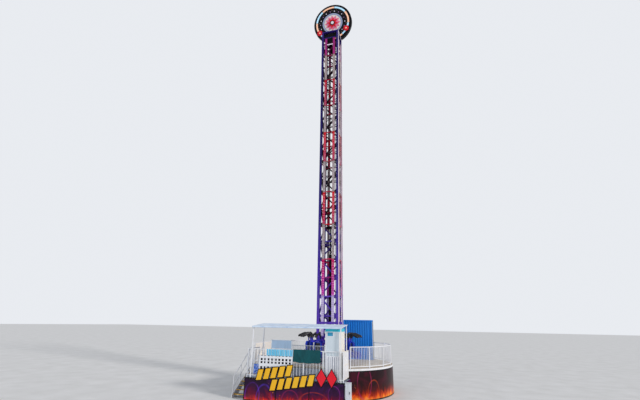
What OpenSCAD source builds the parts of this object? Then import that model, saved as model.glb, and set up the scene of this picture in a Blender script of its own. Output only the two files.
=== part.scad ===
// Drop tower ride: lattice tower with a twelve seat ring, round boarding deck, front podium and stair.
// Millimetres, +Z up. The origin is on the ground below the tower's axis; the front faces -Y.

/* [Tower] */
// Outer width of the square tower
tower_w = 1620; // [1500:10:1640]
// Height of the tower's top above the ground
tower_top = 31100; // [29700:100:36000]
// Width of the square corner tubes
chord_w = 180; // [160:5:200]
// Wall of the corner tubes
chord_wall = 8; // [6:1:12]
// Height of the lowest horizontal lattice bar
first_bar_z = 700; // [600:20:900]
// Height of one lattice bay
bay_h = 1375; // [1200:25:1400]
// Width of the lattice bars
bar_w = 70; // [50:5:90]
// Depth of the lattice bars
bar_t = 60; // [40:5:70]
// Width of the light strips on each tower face
strip_w = 200; // [120:10:240]
// Thickness of the light strips
strip_t = 40; // [25:5:50]
// Distance of each light strip from the middle of its face
strip_off = 385; // [340:5:420]
// Gap between two light strips, end to end
strip_gap = 24; // [10:2:60]

/* [Hoist] */
// Radius of the hydraulic lift cylinder
lift_r = 110; // [90:5:140]
// Height of the lift cylinder's top
lift_top = 9400; // [8000:100:10400]
// Radius of the lift rod
rod_r = 60; // [45:5:75]
// Length of rod that stands out of the cylinder
rod_out = 2100; // [1800:50:2600]
// Radius of the rope sheaves in the head
sheave_r = 260; // [220:10:280]
// Radius of the hoist ropes
rope_r = 8; // [6:1:12]

/* [Head and sign] */
// Height of the head frame's beams
head_h = 120; // [100:10:160]
// Height of the dark sheave housing below the head frame
housing_h = 640; // [600:20:900]
// Width of the narrow cable box that hangs below the housing
cable_box_w = 460; // [380:10:520]
// Height of the narrow cable box below the housing
cable_box_h = 780; // [600:20:900]
// Radius of the round sign
sign_r = 1940; // [1700:20:2100]
// Thickness of the round sign
sign_t = 460; // [360:20:520]
// Forward tilt of the round sign in degrees
sign_tilt = 15; // [8:1:18]
// Radial width of the sign's light ring
sign_ring_w = 240; // [200:10:360]
// Width of the black rim outside the light ring
sign_rim_w = 210; // [100:10:260]
// Clear height between the tower's top and the sign
sign_lift = 50; // [40:10:200]
// Distance of the sign's centre behind the tower's axis
sign_back = 350; // [300:10:400]

/* [Deck] */
// Radius of the round boarding deck
deck_r = 4400; // [4300:20:4600]
// Height of the boarding deck above the ground
deck_z = 1760; // [1640:20:1900]
// Thickness of the deck plates
deck_t = 60; // [40:5:80]
// Depth by which the deck's straight front edge cuts its circle
front_cut = 550; // [450:25:700]
// Reach of the landing beyond the round deck on the left
landing_out = 400; // [320:20:600]
// Front edge of the landing
landing_front = 2500; // [2300:50:2700]
// Back edge of the landing
landing_back = 1600; // [1400:50:1900]
// Thickness of the skirt panels
skirt_t = 20; // [12:2:30]
// Clearance of the skirt panels above the ground
skirt_lift = 30; // [20:5:80]

/* [Podium] */
// Height of the front podium's floor
podium_z = 1240; // [1100:20:1360]
// Depth of the podium in front of the deck
podium_d = 1650; // [1625:25:1900]
// Right end of the podium
podium_right = 2250; // [2150:10:2290]
// Height of the podium fence's top above the podium
podium_fence_h = 1570; // [1300:10:1620]

/* [Stair and fences] */
// Clear width of the stair between its stringers
stair_w = 770; // [700:10:780]
// Number of rises from the ground to the deck
rises = 9; // [8:1:10]
// Going of one tread
going = 300; // [260:5:310]
// Height of the deck fences
fence_h = 1230; // [1100:10:1300]
// Width of the fence posts
post_w = 50; // [40:5:60]
// Width of the vertical fence bars
fence_bar_w = 18; // [12:1:24]
// Largest pitch of the vertical fence bars
bar_pitch = 112; // [90:2:140]

/* [Booth and canopy] */
// Width of the operator's booth
booth_w = 840; // [780:10:900]
// Depth of the operator's booth
booth_d = 1350; // [1200:10:1380]
// Height of the operator's booth
booth_h = 2800; // [2600:20:2800]
// Left side of the booth from the axis
booth_x = 1100; // [1060:10:1140]
// Wall of the booth
booth_wall = 40; // [25:5:60]
// Width of the canopy
canopy_w = 5550; // [5400:10:5700]
// Depth of the canopy
canopy_d = 1600; // [1500:10:1620]
// Height of the canopy's front edge above the podium
canopy_front_h = 2860; // [2850:10:3000]
// Rise of the canopy from front to back
canopy_rise = 150; // [120:10:260]
// Width of the canopy's square tubes
canopy_tube = 50; // [40:5:60]

/* [Gondola] */
// Number of seats around the tower
seats = 12; // [12:1:12]
// Inner radius of the gondola's ring frame
ring_r = 1230; // [1210:5:1250]
// Radial width of the ring frame's beams
ring_w = 70; // [60:5:80]
// Length of the arms that carry the seats clear of the ring
seat_arm = 270; // [200:10:320]
// Height of the ring frame's beams
ring_h = 120; // [90:5:140]
// Height of the lower ring above the deck
ring_low = 300; // [260:10:360]
// Height of the upper ring above the deck
ring_high = 1280; // [1240:10:1340]
// Height of the restraint pivots above the deck
pivot_h = 1560; // [1530:5:1620]
// Width of a seat shell
seat_w = 500; // [460:10:520]
// Height of the seat pan above the deck
seat_h = 480; // [450:10:520]
// Depth of the seat from its back to the front lip
seat_d = 640; // [600:10:680]
// Height of the seat shell's back above the pan
back_h = 860; // [800:10:880]
// Wall of the seat shells
shell_t = 30; // [20:2:40]
// Radius of the guide rollers
roller_r = 52; // [45:1:55]
// Width of the guide rollers
roller_w = 76; // [60:2:80]
// Clearance of the guide rollers from the corner tubes
roller_gap = 0.3; // [0.3:0.1:1]
// Travel of the gondola up the tower
travel = 24000; // [20000:500:24500]

/* [Restraints] */
// Radius of the restraint tubes
arm_r = 28; // [22:1:32]
// Distance of each restraint tube from the seat's middle
arm_off = 150; // [135:5:160]
// Reach of the shoulder part before it bends down
shoulder_l = 420; // [380:10:450]
// Length of the chest part after the bend
chest_l = 600; // [540:10:640]
// Radius of the bend between shoulder and chest
bend_r = 170; // [140:5:190]
// Angle through which the restraints are raised at rest
raise = 65; // [55:1:70]
// Radius of the pivot shaft
pivot_r = 20; // [16:1:22]
// Radial clearance of the restraint hubs on the shaft
pivot_gap = 0.3; // [0.3:0.1:0.6]

/* [Hidden] */
$fn = 48;

half_w = tower_w / 2;
chord_c = half_w - chord_w / 2;
chord_in = half_w - chord_w;
pad_h = 60;
pad_w = 280;
beam_h = 260;
beam_w = 200;
beam_reach = 3900;
base_top = pad_h + beam_h;
foot_t = 25;
foot_w = 300;
chord_z = base_top + foot_t;
head_z = tower_top - head_h;
bays = floor((head_z - housing_h - first_bar_z - bar_w) / bay_h);
zone_bays = 2;
zones = floor(bays / zone_bays);
housing_wall = 10;
sheave_z = head_z - housing_h / 2;
sheave_y = sheave_r + 50;
sheave_x = 300;
sheave_t = 50;
head_beam_x = sheave_x * 1.6;
shaft_r = 35;
crosshead_h = 200;
seat_gap = 0.3;
rope_y = sheave_y - sheave_r - rope_r - seat_gap;
sign_z = tower_top + sign_lift + sign_r * cos(sign_tilt) + sign_t / 2 * sin(sign_tilt);
joint_gap = 4;
deck_hole = half_w + 60;
deck_under = deck_z - deck_t;
lip_t = 30;
lip_h = 110;
leg_w = 80;
leg_foot = 160;
leg_foot_t = 20;
joist_h = 120;
leg_r = deck_r - 250;
leg_step = 30;
leg_from = -48;
leg_count = 10;
deck_front = deck_r - front_cut;
landing_x = deck_r + landing_out;
arc_front = asin(deck_front / deck_r);
arc_back = 180 - asin(landing_back / deck_r);
arc_left_a = 180 + asin(landing_front / deck_r);
arc_left_lip = 180 + asin((landing_front + joint_gap) / (deck_r - lip_t));
stair_gap = 150;
stringer_t = 40;
podium_front = deck_front + podium_d;
podium_left = landing_x - stair_w - 2 * stringer_t - stair_gap;
podium_t = 40;
podium_leg_in = 100;
landing_in = deck_r - 800;
landing_joist_x = landing_in - leg_w;
window_w = 330;
window_h = 240;
window_x = 120;
window_z = 2380;
board_x = -podium_left + 1530;
board_w = 1310;
board_h = 510;
banner_w = 1680;
banner_h = 720;
banner_x = 10;
box_w = 330;
box_d = 260;
box_foot_h = 260;
box_h = 980;
cabinet_w = 2620;
cabinet_d = 620;
cabinet_h = 2840;
cabinet_x = 80;
cabinet_gap = 130;
podium_fence_y = -podium_front + 110;
booth_y = podium_fence_y + 40;
canopy_x = -podium_left + 320;
canopy_over = 60;
fence_r = deck_r - 70;
tread_t = 40;
rise = deck_z / rises;
stair_run = (rises - 1) * going;
stair_foot_y = -landing_front - stair_run;
stair_sides = [-landing_x, -landing_x + stringer_t + stair_w];
rail_h = 50;
rail_t = 40;
bottom_rail_z = 90;
seat_r = ring_r + ring_w + seat_arm;
seat_post_w = 80;
seat_step = 360 / seats;
seat_turn = seat_step / 2;
pivot_x = seat_r - 20;
arm_len = shoulder_l - bend_r;
hub_r = 38;
hub_w = 64;
roller_x = half_w + roller_gap + roller_r;
axle_r = 12;
fork_gap = 3;
fork_t = 12;
bracket_half = arm_off - max(arm_r, hub_w / 2) - 8;

function zone_of(z) = floor((z - first_bar_z) / (bay_h * zone_bays));
function zone_color(k) =
    k > 9 ? "mediumvioletred" :
    k == 1 || k == 9 ? "thistle" :
    k == 2 ? "mediumvioletred" :
    k % 2 == 0 ? "crimson" : "silver";

// Square bar between two points
module bar(p, q, w, t) {
    v = q - p;
    translate(p)
        rotate([0, -asin(v[2] / norm(v)), atan2(v[1], v[0])])
            translate([0, -t / 2, -w / 2])
                cube([norm(v), t, w]);
}

module box(x, y, z) {
    translate([x[0], y[0], z[0]])
        cube([x[1] - x[0], y[1] - y[0], z[1] - z[0]]);
}

// Copies at the four corners of a square
module four_corners(c) {
    for (x = [-1, 1], y = [-1, 1])
        translate([x * c, y * c, 0])
            children();
}

// Part of a round wall between two angles
module arc_wall(r_in, r_out, a, b, z_low, z_high) {
    rotate([0, 0, a])
        rotate_extrude(angle = b - a, $fn = 360)
            translate([r_in, z_low])
                square([r_out - r_in, z_high - z_low]);
}

// Round wall in equal segments with open joints
module segmented_wall(r_in, r_out, a, b, z_low, z_high, parts) {
    gap = joint_gap / r_out * 180 / PI;
    step = (b - a) / parts;
    for (i = [0:parts - 1])
        arc_wall(r_in, r_out, a + i * step + gap / 2, a + (i + 1) * step - gap / 2, z_low, z_high);
}

module base_frame() {
    color("dimgray") {
        for (s = [-1, 1]) {
            translate([-beam_reach, s * chord_c - beam_w / 2, pad_h])
                cube([2 * beam_reach, beam_w, beam_h]);
            translate([s * chord_c - beam_w / 2, -beam_reach, pad_h])
                cube([beam_w, 2 * beam_reach, beam_h]);
        }
        translate([-chord_c, -beam_w, pad_h])
            cube([2 * chord_c, 2 * beam_w, beam_h]);
        translate([-pad_w / 2, -pad_w / 2, 0])
            cube([pad_w, pad_w, pad_h]);
        for (s = [-1, 1], t = [-1, 1]) {
            translate([s * (beam_reach - pad_w / 2) - pad_w / 2, t * chord_c - pad_w / 2, 0])
                cube([pad_w, pad_w, pad_h]);
            translate([t * chord_c - pad_w / 2, s * (beam_reach - pad_w / 2) - pad_w / 2, 0])
                cube([pad_w, pad_w, pad_h]);
            translate([s * chord_c - pad_w / 2, t * chord_c - pad_w / 2, 0])
                cube([pad_w, pad_w, pad_h]);
        }
    }
}

module tower_chords() {
    color("rebeccapurple")
        four_corners(chord_c) {
            translate([0, 0, chord_z])
                linear_extrude(head_z - chord_z)
                    difference() {
                        square(chord_w, center = true);
                        square(chord_w - 2 * chord_wall, center = true);
                    }
            translate([-foot_w / 2, -foot_w / 2, base_top])
                cube([foot_w, foot_w, foot_t]);
        }
}

// One flat lattice side: horizontals with a zigzag of diagonals between the corner tubes
module lattice_side(turn) {
    color("crimson")
        rotate([0, 0, turn])
            translate([0, -chord_c + bar_t / 2, 0])
                rotate([90, 0, 0])
                    linear_extrude(bar_t) {
                        for (k = [0:bays])
                            translate([-chord_in, first_bar_z + k * bay_h - bar_w / 2])
                                square([2 * chord_in, bar_w]);
                        intersection() {
                            translate([-chord_in, first_bar_z])
                                square([2 * chord_in, bays * bay_h]);
                            for (k = [0:bays - 1])
                                translate([0, first_bar_z + (k + 0.5) * bay_h])
                                    rotate((k % 2 == 0 ? 1 : -1) * atan2(bay_h, 2 * chord_in))
                                        square([3 * chord_in, bar_w], center = true);
                        }
                    }
}

module lattice_front() {
    lattice_side(0);
}

module lattice_right() {
    lattice_side(90);
}

module lattice_back() {
    lattice_side(180);
}

module lattice_left() {
    lattice_side(270);
}

module light_strips() {
    strip_y = chord_c + bar_t / 2;
    zone_h = zone_bays * bay_h;
    low = first_bar_z + strip_gap / 2;
    last = head_z - housing_h - strip_gap;
    for (turn = [0:90:270], s = [-1, 1], k = [1:zones])
        color(zone_color(k))
            rotate([0, 0, turn])
                translate([s * strip_off - strip_w / 2, -strip_y - strip_t, low + k * zone_h])
                    cube([strip_w, strip_t, min(zone_h - strip_gap, last - low - k * zone_h)]);
}

module lift_cylinder() {
    color("dimgray") {
        translate([0, 0, base_top])
            cylinder(r = lift_r * 1.6, h = 40);
        translate([0, 0, base_top])
            cylinder(r = lift_r, h = lift_top - base_top);
        translate([0, 0, lift_top - 150])
            cylinder(r = lift_r * 1.2, h = 150);
        translate([0, 0, lift_top])
            cylinder(r = rod_r, h = rod_out);
        translate([-sheave_x - 60, -100, lift_top + rod_out])
            cube([2 * sheave_x + 120, 200, crosshead_h]);
    }
}

module hoist_ropes() {
    rope_z = lift_top + rod_out + crosshead_h;
    color("gray")
        for (x = [-sheave_x, sheave_x], y = [-rope_y, rope_y])
            translate([x, y, rope_z])
                cylinder(r = rope_r, h = sheave_z - rope_z, $fn = 16);
}

module head_sheaves() {
    color("slategray")
        for (y = [-sheave_y, sheave_y]) {
            translate([-chord_in + housing_wall, y, sheave_z])
                rotate([0, 90, 0])
                    cylinder(r = shaft_r, h = 2 * (chord_in - housing_wall));
            for (x = [-sheave_x, sheave_x])
                translate([x - sheave_t / 2, y, sheave_z])
                    rotate([0, 90, 0])
                        cylinder(r = sheave_r, h = sheave_t);
        }
}

module head_frame() {
    color("rebeccapurple")
        translate([0, 0, head_z])
            linear_extrude(head_h) {
                difference() {
                    square(tower_w, center = true);
                    square(2 * chord_in, center = true);
                }
                for (x = [-head_beam_x, head_beam_x])
                    translate([x - chord_w / 2, -chord_c])
                        square([chord_w, 2 * chord_c]);
            }
}

module head_housing() {
    hold = 100;
    end = chord_in - housing_wall / 2;
    color("#16121c") {
        translate([0, 0, head_z - housing_h])
            linear_extrude(housing_h)
                difference() {
                    square(2 * chord_in, center = true);
                    square(2 * (chord_in - housing_wall), center = true);
                }
        translate([0, 0, head_z - housing_h - cable_box_h])
            linear_extrude(cable_box_h + hold)
                difference() {
                    square([cable_box_w, 2 * end], center = true);
                    square([cable_box_w - 2 * housing_wall, 2 * (end - housing_wall)], center = true);
                }
    }
}

// Space of the tilted sign, with its front towards -Y and its own Z along the disc's axis
module sign_place() {
    translate([0, sign_back, sign_z])
        rotate([90 + sign_tilt, 0, 0])
            children();
}

module sign_drum() {
    drum_r = sign_r - sign_ring_w - sign_rim_w;
    color("#14141a")
        sign_place() {
            translate([0, 0, -sign_t / 2 + 40])
                cylinder(r = drum_r, h = sign_t - 80, $fn = 120);
        }
}

module sign_ring() {
    drum_r = sign_r - sign_ring_w - sign_rim_w;
    color("#26262c")
        sign_place()
            rotate_extrude($fn = 120)
                polygon([
                    [drum_r, -sign_t / 2], [sign_r - sign_rim_w, -sign_t / 2],
                    [sign_r, -sign_t / 2 + 60], [sign_r, sign_t / 2 - 60],
                    [sign_r - sign_rim_w, sign_t / 2], [drum_r, sign_t / 2]
                ]);
}

module sign_frame() {
    rail_w = 90;
    prop_w = 70;
    prop_z = 1100;
    cross_w = 60;
    rail_from = -sign_r * 1.07;
    foot_y = sign_back + sign_r * sin(sign_tilt) + sign_t / 2 + rail_w;
    rail_back = (sign_t + rail_w) / 2 / cos(sign_tilt);
    prop_y = sign_back + (sign_z - tower_top - prop_z) * tan(sign_tilt) + rail_back;
    tail = 130;
    color("rebeccapurple") {
        for (x = [-head_beam_x, head_beam_x])
            translate([x - rail_w / 2, 0, tower_top])
                rotate([90, 0, 90])
                    linear_extrude(rail_w)
                        difference() {
                            union() {
                                sign_section(-sign_t / 2 - rail_w, rail_w, rail_from, sign_r * 0.8);
                                square([foot_y + tail, rail_w]);
                                plan_bar([foot_y + tail - prop_w, rail_w / 2], [prop_y, prop_z], prop_w);
                            }
                            sign_section(-sign_t / 2, sign_t, -sign_r, sign_r);
                        }
        for (p = [[foot_y, (rail_w - cross_w) / 2], [prop_y - cross_w / 2 + 10, prop_z - cross_w / 2]])
            translate([-head_beam_x, p[0], tower_top + p[1]])
                cube([2 * head_beam_x, cross_w, cross_w]);
    }
}

// Slab along the sign's disc seen from the side, measured from the tower's top
module sign_section(depth, t, from, to) {
    translate([sign_back, sign_z - tower_top])
        rotate(90 + sign_tilt)
            translate([from, depth])
                square([to - from, t]);
}

// Support leg with its foot plate, up to a given height
module leg(x, y, top) {
    translate([x - leg_foot / 2, y - leg_foot / 2, 0])
        cube([leg_foot, leg_foot, leg_foot_t]);
    translate([x - leg_w / 2, y - leg_w / 2, 0])
        cube([leg_w, leg_w, top]);
}

// Flat bar between two points of a plan
module plan_bar(p, q, w) {
    v = q - p;
    translate(p)
        rotate(atan2(v[1], v[0]))
            translate([0, -w / 2])
                square([norm(v), w]);
}

// Level joist between two legs, with its ends clear of them
module joist(p, q) {
    end = leg_w * 0.75 + joint_gap;
    v = (q - p) / norm(q - p);
    plan_bar(p + end * v, q - end * v, leg_w);
}

module deck_frame() {
    inner = deck_hole + leg_w;
    leg_at = [
        for (i = [0:leg_count - 1])
            leg_r * [cos(leg_from + i * leg_step), sin(leg_from + i * leg_step)]
    ];
    landing_leg_x = -landing_x + leg_w;
    landing_y = [-landing_front + leg_w, landing_back - leg_w];
    corners = [[-inner, -inner], [inner, -inner], [inner, inner], [-inner, inner]];
    color("dimgray") {
        translate([0, 0, deck_under - joist_h])
            linear_extrude(joist_h) {
                for (i = [0:leg_count - 1])
                    joist(leg_at[i], leg_at[(i + 1) % leg_count]);
                for (i = [0:3])
                    joist(corners[i], corners[(i + 1) % 4]);
                for (y = landing_y)
                    joist([landing_leg_x, y], [-landing_joist_x, y]);
                joist([landing_leg_x, landing_y[0]], [landing_leg_x, landing_y[1]]);
            }
        for (p = concat(leg_at, corners))
            leg(p[0], p[1], deck_under);
        for (y = landing_y)
            leg(landing_leg_x, y, deck_under);
    }
}

// Outline of the round deck without the landing and without the part before the front edge
module deck_outline() {
    difference() {
        circle(r = deck_r - lip_t - 1, $fn = 360);
        translate([-deck_r, -deck_r - 1])
            square([2 * deck_r, deck_r - deck_front + 1]);
        translate([-landing_x, -landing_front])
            square([landing_x - landing_in, landing_front + landing_back]);
    }
}

module deck_plates() {
    g = joint_gap / 2;
    color("antiquewhite")
        translate([0, 0, deck_under])
            linear_extrude(deck_t) {
                intersection() {
                    deck_outline();
                    union()
                        for (turn = [0:90:270])
                            rotate([0, 0, turn]) {
                                translate([deck_hole + g, -deck_hole + g])
                                    square([deck_r, 2 * deck_hole - joint_gap]);
                                translate([deck_hole + g, deck_hole + g])
                                    square(deck_r);
                            }
                }
                translate([-landing_x + lip_t, -landing_front])
                    square([
                        landing_x - lip_t - landing_in - joint_gap,
                        landing_front + landing_back - lip_t
                    ]);
            }
}

module deck_lip() {
    color("white") {
        segmented_wall(deck_r - lip_t, deck_r, -arc_front, arc_back, deck_z - lip_h, deck_z, 8);
        arc_wall(deck_r - lip_t, deck_r, arc_left_lip, 180 + arc_front, deck_z - lip_h, deck_z);
        box([-landing_x, -landing_x + lip_t], [-landing_front, landing_back], [deck_z - lip_h, deck_z]);
        box([-landing_x + lip_t, -sqrt(pow(deck_r, 2) - pow(landing_back, 2)) - joint_gap],
            [landing_back - lip_t, landing_back], [deck_z - lip_h, deck_z]);
    }
}

module deck_skirt() {
    top = deck_z - lip_h - 1;
    set_back = 10;
    r_out = deck_r - set_back;
    left = -landing_x + set_back;
    back = landing_back - set_back / 2;
    arc_x = -sqrt(pow(deck_r, 2) - pow(landing_back, 2)) - 30;
    front_x = deck_r * cos(arc_front) - 60;
    color("#3a1020") {
        segmented_wall(r_out - skirt_t, r_out, -arc_front + 0.5, arc_back, skirt_lift, top, 8);
        arc_wall(r_out - skirt_t, r_out, arc_left_a, 180 + arc_front - 0.5, skirt_lift, top);
        box([left, left + skirt_t], [-landing_front + leg_w + 60, back - skirt_t - joint_gap],
            [skirt_lift, top]);
        box([left, arc_x], [back - skirt_t, back], [skirt_lift, top]);
    }
    color("white")
        box([-front_x, front_x], [-deck_front, -deck_front + skirt_t], [podium_z, deck_under]);
}

module podium_frame() {
    top = podium_z - podium_t;
    end = leg_w / 2 + joint_gap;
    z = [top - joist_h, top];
    x_at = [-podium_left + podium_leg_in, -podium_left / 2, 300, podium_right - podium_leg_in];
    y_at = [-podium_front + podium_leg_in, -deck_front - podium_leg_in];
    color("dimgray") {
        for (x = x_at) {
            for (y = y_at)
                leg(x, y, top);
            box([x - leg_w / 2, x + leg_w / 2], [y_at[0] + end, y_at[1] - end], z);
        }
        for (y = y_at, i = [0:2])
            box([x_at[i] + end, x_at[i + 1] - end], [y - leg_w / 2, y + leg_w / 2], z);
    }
}

module podium_floor() {
    plates = 4;
    w = (podium_left + podium_right - 2 * skirt_t) / plates;
    left = -podium_left + skirt_t;
    color("lightsteelblue")
        for (i = [0:plates - 1])
            box([left + i * w + joint_gap / 2, left + (i + 1) * w - joint_gap / 2],
                [-podium_front + skirt_t, -deck_front - skirt_t], [podium_z - podium_t, podium_z]);
}

module podium_skirt() {
    side_y = [-podium_front + skirt_t + joint_gap, -deck_front - skirt_t];
    color("#3a1020") {
        box([-podium_left, podium_right], [-podium_front, -podium_front + skirt_t], [skirt_lift, podium_z]);
        box([podium_right - skirt_t, podium_right], side_y, [skirt_lift, podium_z]);
        box([-podium_left, -podium_left + skirt_t], side_y, [skirt_lift, podium_z]);
    }
}

// Side view of one stair stringer
module stair_side() {
    drop = 260;
    slope = rise / going;
    nose_y = stair_foot_y - going * 0.6;
    polygon([
        [-landing_front, deck_z - 20], [-landing_front, deck_z - drop - rise],
        [stair_foot_y + drop / slope, 0], [nose_y, 0], [nose_y, rise * 0.9]
    ]);
}

module stair_stringers() {
    color("white")
        for (x = stair_sides)
            translate([x, 0, 0])
                rotate([90, 0, 90])
                    linear_extrude(stringer_t)
                        stair_side();
}

module stair_treads() {
    x = -landing_x + stringer_t;
    color("silver")
        for (i = [1:rises - 1]) {
            y = stair_foot_y + (i - 1) * going;
            box([x, x + stair_w], [y, y + going - 10], [i * rise - tread_t, i * rise]);
        }
}

// Straight run of fence along +X with evenly spaced posts and bars
module fence_run(l, h, pitch = bar_pitch, field = 1300) {
    fields = ceil(l / field);
    step = (l - post_w) / fields;
    clear = step - post_w;
    n = ceil(clear / pitch);
    bar_z = bottom_rail_z + rail_t / 2;
    for (i = [0:fields])
        translate([i * step, -post_w / 2, 0])
            cube([post_w, post_w, h]);
    translate([0, -rail_h / 2, h - rail_t])
        cube([l, rail_h, rail_t]);
    translate([0, -rail_t / 2, bottom_rail_z])
        cube([l, rail_t, rail_t]);
    for (i = [0:fields - 1], k = [1:n - 1])
        translate([i * step + post_w + k * clear / n - fence_bar_w / 2, -fence_bar_w / 2, bar_z])
            cube([fence_bar_w, fence_bar_w, h - rail_t / 2 - bar_z]);
}

// Round run of fence made of flat fields between two angles
module fence_arc(a, b, fields) {
    step = (b - a) / fields;
    span = 2 * fence_r * sin(step / 2);
    n = ceil((span - post_w) / bar_pitch);
    rail_top = fence_h - rail_t;
    low_top = bottom_rail_z + rail_t;
    module posts() {
        for (i = [0:fields])
            rotate(a + i * step)
                translate([fence_r, 0])
                    square(post_w, center = true);
    }
    module across(w, l, at = [0]) {
        for (i = [0:fields - 1])
            rotate(a + (i + 0.5) * step)
                for (y = at)
                    translate([fence_r * cos(step / 2), y])
                        square([w, l], center = true);
    }
    bar_at = [for (k = [1:n - 1]) span * (k / n - 0.5)];
    translate([0, 0, deck_z]) {
        linear_extrude(bottom_rail_z)
            posts();
        translate([0, 0, bottom_rail_z])
            linear_extrude(rail_t) {
                posts();
                across(rail_t, span);
            }
        translate([0, 0, low_top])
            linear_extrude(rail_top - low_top) {
                posts();
                across(fence_bar_w, fence_bar_w, bar_at);
            }
        translate([0, 0, rail_top])
            linear_extrude(rail_t) {
                posts();
                across(rail_t, span);
            }
    }
}

module fence_right() {
    color("white")
        fence_arc(-arc_front + 2, 30, 5);
}

module fence_back() {
    color("white")
        fence_arc(32, arc_back - 2, 7);
}

module fence_left() {
    edge = 60;
    arc_end = 80;
    color("white") {
        translate([-landing_x + edge, -landing_front + post_w, deck_z])
            rotate([0, 0, 90])
                fence_run(landing_front + landing_back - edge - post_w, fence_h);
        translate([-landing_x + edge - post_w / 2, landing_back - edge, deck_z])
            fence_run(landing_x - sqrt(pow(fence_r, 2) - pow(landing_back, 2)) - arc_end, fence_h);
        fence_arc(arc_left_a + 3, 180 + arc_front - 3, 2);
    }
}

module fence_front() {
    edge = 60;
    x = sqrt(pow(fence_r, 2) - pow(deck_front, 2)) - 2 * edge;
    color("white")
        translate([-x, -deck_front + edge, deck_z])
            fence_run(2 * x, fence_h);
}

module podium_fence() {
    edge = 60;
    side_t = 20;
    side_x = podium_right - edge - post_w;
    side_y = podium_fence_y + post_w / 2 + joint_gap;
    color("white") {
        translate([-podium_left + edge, podium_fence_y, podium_z])
            fence_run(podium_left + podium_right - 2 * edge, podium_fence_h, bar_pitch * 1.7);
        box([side_x, side_x + side_t], [side_y, -deck_front - edge],
            [podium_z + bottom_rail_z, podium_z + podium_fence_h]);
        translate([-podium_left + edge + post_w / 2, side_y, podium_z])
            rotate([0, 0, 90])
                fence_run(-deck_front - edge - side_y, podium_fence_h, bar_pitch * 1.7);
    }
}

module stair_handrails() {
    posts = 3;
    mid_drop = 560;
    y0 = stair_foot_y - going * 0.3;
    y1 = -landing_front - post_w / 2;
    low = fence_h - 60;
    high = deck_z + fence_h - rail_t / 2;
    color("white")
        for (x = stair_sides)
            translate([x + (stringer_t - rail_t) / 2, 0, 0])
                rotate([90, 0, 90])
                    linear_extrude(rail_t)
                        difference() {
                            union() {
                                for (drop = [0, mid_drop])
                                    plan_bar([y0, low - drop], [y1, high - drop], rail_t);
                                for (k = [0:posts])
                                    translate([y0 + (y1 - y0) * k / posts, k * (high - low) / posts])
                                        translate([-rail_t / 2, 0])
                                            square([rail_t, low]);
                            }
                            stair_side();
                        }
}

module booth_body() {
    door_w = 540;
    door_h = 2500;
    color("lightgray")
        translate([booth_x, booth_y, podium_z])
            difference() {
                cube([booth_w, booth_d, booth_h]);
                translate([booth_wall, booth_wall, booth_wall])
                    cube([booth_w - 2 * booth_wall, booth_d - 2 * booth_wall, booth_h - 2 * booth_wall]);
                translate([window_x, -1, window_z])
                    cube([window_w, booth_wall + 2, window_h]);
                translate([(booth_w - door_w) / 2, booth_d - booth_wall - 1, booth_wall])
                    cube([door_w, booth_wall + 2, door_h]);
            }
}

module booth_window() {
    pane_t = 8;
    color("skyblue")
        translate([booth_x + window_x, booth_y + (booth_wall - pane_t) / 2, podium_z + window_z])
            cube([window_w, pane_t, window_h]);
}

module canopy_frame() {
    t = canopy_tube;
    inset = 2;
    y0 = -podium_front;
    y1 = y0 + canopy_d;
    slope = canopy_rise / canopy_d;
    front = podium_z + canopy_front_h - seat_gap;
    back = front + canopy_rise;
    color("white") {
        for (x = [canopy_x, canopy_x + canopy_w - t])
            translate([x, 0, 0])
                rotate([90, 0, 90])
                    linear_extrude(t)
                        polygon([
                            [y0, podium_z], [y0, front], [y1, back], [y1, podium_z], [y1 - t, podium_z],
                            [y1 - t, back - t - slope * t], [y0 + t, front - t + slope * t],
                            [y0 + t, podium_z]
                        ]);
        for (p = [[y0 + inset, front - t], [y1 - t + inset, back - t - slope * t]])
            translate([canopy_x + t / 2, p[0], p[1]])
                cube([canopy_w - t, t - 2 * inset, t]);
    }
}

module canopy_cloth() {
    cloth_t = 20;
    hem_t = 12;
    front_hem = 90;
    back_hem = 60;
    front = podium_z + canopy_front_h;
    back = front + canopy_rise;
    y0 = -podium_front - canopy_over;
    y1 = -podium_front + canopy_d + canopy_over;
    slope = canopy_rise / canopy_d;
    lift = slope * canopy_over;
    color("aliceblue")
        translate([canopy_x - canopy_over, 0, 0])
            rotate([90, 0, 90])
                linear_extrude(canopy_w + 2 * canopy_over)
                    polygon([
                        [y0, front - front_hem], [y0 + hem_t, front - front_hem],
                        [y0 + hem_t, front - lift + slope * hem_t], [y1 - hem_t, back + lift - slope * hem_t],
                        [y1 - hem_t, back - back_hem], [y1, back - back_hem],
                        [y1, back + lift + cloth_t], [y0, front - lift + cloth_t]
                    ]);
}

module notice_board() {
    board_t = 25;
    strap_w = 60;
    strap_h = 330;
    color("lightslategray")
        translate([board_x, podium_fence_y + rail_h / 2 + seat_gap, podium_z + podium_fence_h]) {
            translate([0, 0, 20])
                cube([board_w, board_t, board_h]);
            for (x = [150, board_w - 150 - strap_w])
                translate([x, 0, 30 - strap_h])
                    cube([strap_w, board_t, strap_h]);
        }
}

module banner() {
    banner_t = 10;
    top = podium_z + podium_fence_h + 40;
    front = podium_fence_y - rail_h / 2 - seat_gap - banner_t;
    color("#0d3b3b")
        translate([banner_x - banner_w / 2, front, top - banner_h])
            cube([banner_w, banner_t, banner_h]);
}

module electrical_box() {
    foot_w = 40;
    front = -podium_front + 60;
    foot_y = front + (box_d - foot_w) / 2;
    color("gainsboro") {
        box([podium_right, podium_right + box_w], [front, front + box_d], [box_foot_h, box_foot_h + box_h]);
        for (x = [podium_right + foot_w, podium_right + box_w - 2 * foot_w])
            box([x, x + foot_w], [foot_y, foot_y + foot_w], [0, box_foot_h]);
    }
}

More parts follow.
